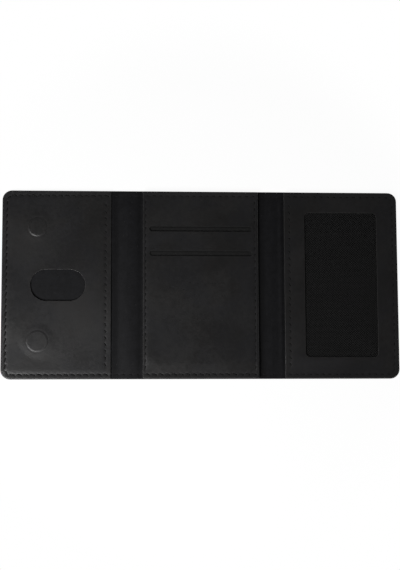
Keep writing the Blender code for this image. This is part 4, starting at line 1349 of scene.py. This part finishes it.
facing_low, facing_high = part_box("facing_left")
print("facing cloth, mm thick:", round((facing_high.z - facing_low.z) / MM, 2))

# %% Facing and pocket cloths
FACING_CORNER, POCKET_CORNER = 2.4 * MM, 2.0 * MM
POCKET_PAST = 0.9 * MM  # a pocket cloth runs on this far past the ends of its slot

facing_outline = box_outline("facing_left", (FACING_CORNER, HEM_CORNER, HEM_CORNER, FACING_CORNER))
facing = lay_cloth(
    "left_facing_cloth", "facing_left", facing_outline, facing_cloth, 2.2,
    holes=[thumb_slot.inset(-0.6 * MM)],
)
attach(facing, "left_flap")
for side, slot, seed in zip(("upper", "lower"), card_slots, (4.0, 5.0)):
    node = f"pocket_cloth_{side}"
    outline = box_outline(node, POCKET_CORNER)
    outline.low[0] = min(outline.low[0], slot.low[0] - POCKET_PAST)
    outline.high[0] = max(outline.high[0], slot.high[0] + POCKET_PAST)
    rows = slot.low[1] + np.arange(-0.2, 3.0, 0.25) * MM
    columns = np.arange(slot.low[0] - 0.5 * MM, slot.high[0] + 0.5 * MM, 0.8 * MM)
    cloth = lay_cloth(
        f"card_pocket_cloth_{side}", node, outline, pocket_cloth, seed,
        fine=np.array([(x, y) for x in columns for y in rows]),
    )
    # Painted shade on the pocket cloth: darker under the slot's upper lip and along its foot, kept in the
    # crease attribute
    from_foot = flat_points(cloth)[:, 1] - slot.low[1]
    painted_shade_under_lip = 0.6 * smooth(from_foot, 1.7 * MM, 2.4 * MM)
    painted_shade_at_foot = 0.25 * (1 - smooth(from_foot, 0.1 * MM, 0.5 * MM))
    keep_values(cloth.data, "crease", painted_shade_under_lip + painted_shade_at_foot)
    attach(cloth, "middle")
print("cloths behind the fronts:", facing.name, cloth.name)

# %% [markdown]
# The thread of a seam lies on the leather between two holes and sinks into both. Each stitch is
# a short tube of its own with tapered ends. It leans off the seam's line, as a lockstitch does.
# The same seam shows on the outside of the cover, where the thread lies in its groove.

# %% One stitch
THREAD_SIDES = 7
THREAD_STATIONS = np.linspace(-1, 1, 9)
THREAD_LIFT = 0.02 * MM
LYING, SINKING, THINNING = 0.35, 1.7, 0.45  # shares of the radius: lift, dip and taper at the ends
WIDER, FLATTER = 1.12, 0.85  # the thread's section is pressed flat


def stitch_tube(middle, lean, length, radius, surface, facing_up, shift):
    """Vertices and faces of one stitch on a surface at a given height there."""
    side = np.array((-lean[1], lean[0]))
    outward = 1 if facing_up else -1
    vertices, faces = [], []
    for station in THREAD_STATIONS:
        flat = middle + lean * station * length / 2
        lift = radius * (LYING - SINKING * abs(station) ** 5)
        thick = radius * (1 - THINNING * abs(station) ** 6)
        for k in range(THREAD_SIDES):
            angle = 2 * math.pi * k / THREAD_SIDES
            over = flat + side * thick * WIDER * math.cos(angle)
            height = surface + outward * (lift + FLATTER * thick * math.sin(angle))
            vertices.append((over[0], over[1], height))
    for ring in range(len(THREAD_STATIONS) - 1):
        for k in range(THREAD_SIDES):
            a, b = ring * THREAD_SIDES + k, ring * THREAD_SIDES + (k + 1) % THREAD_SIDES
            face = (a, b, b + THREAD_SIDES, a + THREAD_SIDES)
            faces.append(tuple(shift + v for v in (face if not facing_up else face[::-1])))
    ends = [tuple(range(THREAD_SIDES)), tuple(range(len(vertices) - THREAD_SIDES, len(vertices)))]
    first, last = (ends[0], ends[1][::-1]) if facing_up else (ends[0][::-1], ends[1])
    faces += [tuple(shift + v for v in first), tuple(shift + v for v in last)]
    return vertices, faces


print("vertices in a stitch:", len(THREAD_STATIONS) * THREAD_SIDES)


# %% Stitches
def sew(name, seam, top, body):
    """All stitches of one body, on the inside and on the outside of the holder."""
    vertices, faces = [], []
    heights = top(seam.middles) + THREAD_LIFT
    stitches = zip(seam.middles, seam.leaning(), seam.lengths, seam.radii, heights)
    for middle, lean, length, radius, height in stitches:
        for surface, facing_up in ((height, True), (1.2 * radius - 0.03 * MM, False)):
            made = stitch_tube(middle, lean, length, radius, surface, facing_up, len(vertices))
            vertices += made[0]
            faces += made[1]
    piece = smooth_mesh(name, vertices, faces, stitch_thread)
    keep_rest(piece.data)
    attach(piece, body)
    return piece


sewn = [
    sew("stitches_left_flap", left_flap_seam, left_top, "left_flap"),
    sew("stitches_middle", middle_seam, middle_top, "middle"),
    sew("stitches_right_flap", right_flap_seam, right_top, "right_flap"),
]
for body, seam in spine_seams.items():
    sewn.append(sew(f"stitches_{body}", seam, lining_top, body))
print("faces of thread:", {piece.name: len(piece.data.polygons) for piece in sewn})

# %% [markdown]
# The window's net is woven from fine threads along both diagonals. Every crossing goes over one
# thread and under the next, so each thread is a wavy tube. A checker rule on the two threads'
# numbers decides who is on top.

# %% Threads of the net
NET_CELL = np.array((1.380, 1.328)) * MM  # a diamond between four crossings, across and along
NET_RADIUS = 0.20 * MM
NET_WAVE = 0.02 * MM
NET_SECTION = ((1, 0), (0.7, 0.28), (-0.7, 0.28), (-1, 0), (-0.7, -0.28), (0.7, -0.28))  # pressed flat
NET_SIDES = len(NET_SECTION)
NET_COUNT = 200  # threads each way from the middle: more than the window needs
NET_SAG = 0.06 * MM
NET_FIELD = WINDOW.inset(-0.9 * MM)
net_low, net_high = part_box("window_net")
NET_HEIGHT = (net_low.z + net_high.z) / 2 - 0.04 * MM


def net_sag(points):
    """The net hangs a little slack in its window."""
    across = np.clip(NET_FIELD.depth(points) / (18 * MM), 0, 1)
    return -NET_SAG * np.sin(math.pi / 2 * across)


def diagonal_thread(index, way):
    """The crossings along one thread, their numbers, and the thread's sideways direction."""
    ahead, step = NET_CELL / 2 * (1, way), NET_CELL / 2 * (1, -way)
    numbers = np.arange(-NET_COUNT, NET_COUNT + 1)
    points = (NET_FIELD.low + NET_FIELD.high) / 2 + index * step + numbers[:, None] * ahead
    inside = NET_FIELD.depth(points) > -0.3 * MM
    side = np.array((-ahead[1], ahead[0])) / np.hypot(*ahead)
    return points[inside], numbers[inside], side


print("crossings on the net's middle thread:", len(diagonal_thread(0, 1)[0]))


# %% Net
def make_net():
    """Every thread of both ways as a closed tube of its own, all in one mesh."""
    vertices, faces = [], []
    for way in (1, -1):
        for index in range(-NET_COUNT, NET_COUNT + 1):
            points, numbers, side = diagonal_thread(index, way)
            if len(points) < 3:
                continue
            over = np.where((index + numbers) % 2 == 0, way, -way)
            heights = NET_HEIGHT + net_sag(points) + over * NET_WAVE
            first = len(vertices)
            for point, height in zip(points, heights):
                for across, up in NET_SECTION:
                    place = point + side * NET_RADIUS * across
                    vertices.append((place[0], place[1], height + NET_RADIUS * up))
            for ring in range(len(points) - 1):
                for k in range(NET_SIDES):
                    a = first + ring * NET_SIDES + k
                    b = first + ring * NET_SIDES + (k + 1) % NET_SIDES
                    faces.append((a, b, b + NET_SIDES, a + NET_SIDES)[::-1])
            faces.append(tuple(range(first, first + NET_SIDES)))
            faces.append(tuple(range(len(vertices) - NET_SIDES, len(vertices)))[::-1])
    made = smooth_mesh("window_net_threads", vertices, faces, net_thread)
    keep_rest(made.data)
    return made


NET_HEM_HALF = 0.06 * MM
net = make_net()
net_hem = make_sheet(
    "window_net_hem", box_outline("window_net", 1.0 * MM),
    flat_height(NET_HEIGHT + NET_HEM_HALF), flat_height(NET_HEIGHT - NET_HEM_HALF),
    holes=[WINDOW.inset(-0.7 * MM)], spacing=1.5 * MM, edge=0.03 * MM, materials=(facing_cloth,),
)
for piece in (net, net_hem):
    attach(piece, "right_flap")
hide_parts("window_net")
print("net:", len(net.data.polygons), "faces")


# %% [markdown]
# The magnets, their shield, the carrier and the board keep their solids, which are right as they
# are. Nickel plate is smooth with faint brushing, the shield is rolled steel, and the carrier and
# the board are matte plastic and grey fibre board.

# %% Inserts
def make_metal(name, colour, roughness, grain_scale):
    """Plated or rolled metal with fine lines in its gloss."""
    material, tree, shader = new_material(name, Metallic=1.0)
    place = add_node(tree, "TexCoord").outputs["Object"]
    stretch = add_node(tree, "Mapping", {"Vector": place, "Scale": (40.0, 900.0, 400.0)}).outputs[0]
    lines = clouds(tree, stretch, grain_scale, 3.0, 0.6)
    dulled = tuple(0.85 * value for value in colour)
    tree.links.new(blend_colours(tree, lines, (*dulled, 1), (*colour, 1)), shader.inputs["Base Color"])
    gloss = spread(tree, lines, 0.3, 0.7, roughness - 0.06, roughness + 0.08)
    tree.links.new(gloss, shader.inputs["Roughness"])
    bump(tree, shader, lines, 0.004 * MM)
    return material


def make_insert(name, dark, pale, per_metre):
    """Matte plastic or board with a fine speckle."""
    material, tree, shader = new_material(name, Roughness=0.65, Specular_IOR_Level=0.3)
    place = add_node(tree, "TexCoord").outputs["Object"]
    speckle = clouds(tree, place, per_metre, 5.0, 0.7)
    tree.links.new(blend_colours(tree, speckle, (*dark, 1), (*pale, 1)), shader.inputs["Base Color"])
    bump(tree, shader, speckle, 0.02 * MM)
    return material


nickel = make_metal("magnet_nickel", (0.60, 0.59, 0.57), roughness=0.26, grain_scale=1.0)
finishes = {
    "shield_ring": make_metal("shield_steel", (0.50, 0.50, 0.51), roughness=0.36, grain_scale=1.4),
    "magnet_carrier": make_insert("carrier_plastic", (0.014, 0.014, 0.014), (0.026, 0.026, 0.026), 1800),
    "board_right": make_insert("grey_board", (0.035, 0.034, 0.032), (0.065, 0.062, 0.058), 1400),
}
for node in frame["nodes"]:
    if "magnet_" in node or node.endswith("magnet"):
        finishes.setdefault(node, nickel)
for node, finish in finishes.items():
    solid = frame["nodes"][node]
    solid.data.materials.clear()
    solid.data.materials.append(finish)
print("inserts finished:", len(finishes))

# %% [markdown]
# The table is white and so is the studio round it. The camera sees both as white paper, but the
# table also keeps the holder's soft shadow. One soft lamp to the lower left, near the table, gives
# the gradient across the leathers, and the dim studio fills in from all round.

# %% Paper
AMBIENT = 0.11
WHITE, PAPER = (1, 1, 1, 1), (0.9, 0.9, 0.9, 1)
SHADOW_FROM, SHADOW_TO = 0.11, 0.16  # metres from the middle, over which the table turns all white
NEAR_GLOW = 0.94


def seen_directly(tree):
    """1 for rays from the camera and for those in gloss and glass, 0 for others."""
    path = add_node(tree, "LightPath")
    seen = math_node(tree, "MAXIMUM", path.outputs["Is Camera Ray"], path.outputs["Is Glossy Ray"])
    return math_node(tree, "MAXIMUM", seen, path.outputs["Is Transmission Ray"])


def glow_of_table(tree):
    """The share of glow: less beside the holder, where its shadow falls, and all of it far away."""
    place = add_node(tree, "NewGeometry").outputs["Position"]
    away = add_node(tree, "VectorMath", {0: place}, operation="LENGTH").outputs["Value"]
    return spread(tree, away, SHADOW_FROM, SHADOW_TO, NEAR_GLOW, 1.0)


def make_paper(name, ambient=None):
    """White paper. It glows where the camera looks, and lights the rest as dim or plain paper does."""
    material = bpy.data.materials.new(name)
    material.use_nodes = True
    tree = material.node_tree
    tree.nodes.clear()
    white = add_node(tree, "Emission", {"Color": WHITE, "Strength": 1.0})
    share = seen_directly(tree)
    if ambient is None:
        plain = add_node(tree, "BsdfDiffuse", {"Color": PAPER})
        share = math_node(tree, "MULTIPLY", share, glow_of_table(tree))
    else:
        plain = add_node(tree, "Emission", {"Color": WHITE, "Strength": ambient})
    mix = add_node(tree, "MixShader", {0: share, 1: plain.outputs[0], 2: white.outputs[0]})
    output = add_node(tree, "OutputMaterial")
    tree.links.new(mix.outputs[0], output.inputs["Surface"])
    return material


table_paper, backdrop_paper = make_paper("table_paper"), make_paper("backdrop_paper", AMBIENT)
print("papers:", table_paper.name, backdrop_paper.name)


# %% Table and backdrop
def staged(name, vertices, faces, material):
    """A piece of the studio, which is no part of the holder."""
    piece = smooth_mesh(name, vertices, faces, material)
    return piece


TABLE_HALF, TABLE_DROP = 2.6, 0.05 * MM
WALL_RADIUS, WALL_FOOT, WALL_HEIGHT, WALL_STEPS = 2.5, -0.01, 1.1, 64
corners = [(x, y, 0) for x, y in ((-1, -1), (1, -1), (1, 1), (-1, 1))]
table = staged("table", corners, [(0, 1, 2, 3)], table_paper)
table.scale = (TABLE_HALF, TABLE_HALF, 1)
table.location.z = -TABLE_DROP
wall_points, wall_faces = [], []
for z in (WALL_FOOT, WALL_HEIGHT):
    for i in range(WALL_STEPS):
        angle = 2 * math.pi * i / WALL_STEPS
        wall_points.append((WALL_RADIUS * math.cos(angle), WALL_RADIUS * math.sin(angle), z))
for i in range(WALL_STEPS):
    j = (i + 1) % WALL_STEPS
    wall_faces.append((i, j, j + WALL_STEPS, i + WALL_STEPS))
staged("backdrop", wall_points, wall_faces, backdrop_paper)
print("table and backdrop, faces:", len(table.data.polygons) + len(wall_faces))

# %% Light
KEY_PLACE, KEY_AIM = Vector((-0.243, -0.235, 0.347)), Vector((-0.06, -0.03, 0))
KEY_SIZE, KEY_POWER = 0.22, 3.3

world = bpy.data.worlds.new("studio")
world.use_nodes = True
sky = world.node_tree.nodes["Background"]
sky.inputs["Color"].default_value = WHITE
sky.inputs["Strength"].default_value = AMBIENT
bpy.context.scene.world = world

soft_box = bpy.data.lights.new("key_lamp", "AREA")
soft_box.size, soft_box.energy = KEY_SIZE, KEY_POWER
key_lamp = new_object("key_lamp", soft_box)
key_lamp.location = KEY_PLACE
key_lamp.rotation_euler = (KEY_AIM - KEY_PLACE).to_track_quat("-Z", "Y").to_euler()
key_lamp.visible_camera = False
bpy.context.scene.view_settings.view_transform = "Standard"
print("lamp above the table, mm:", round(key_lamp.location.z / MM))
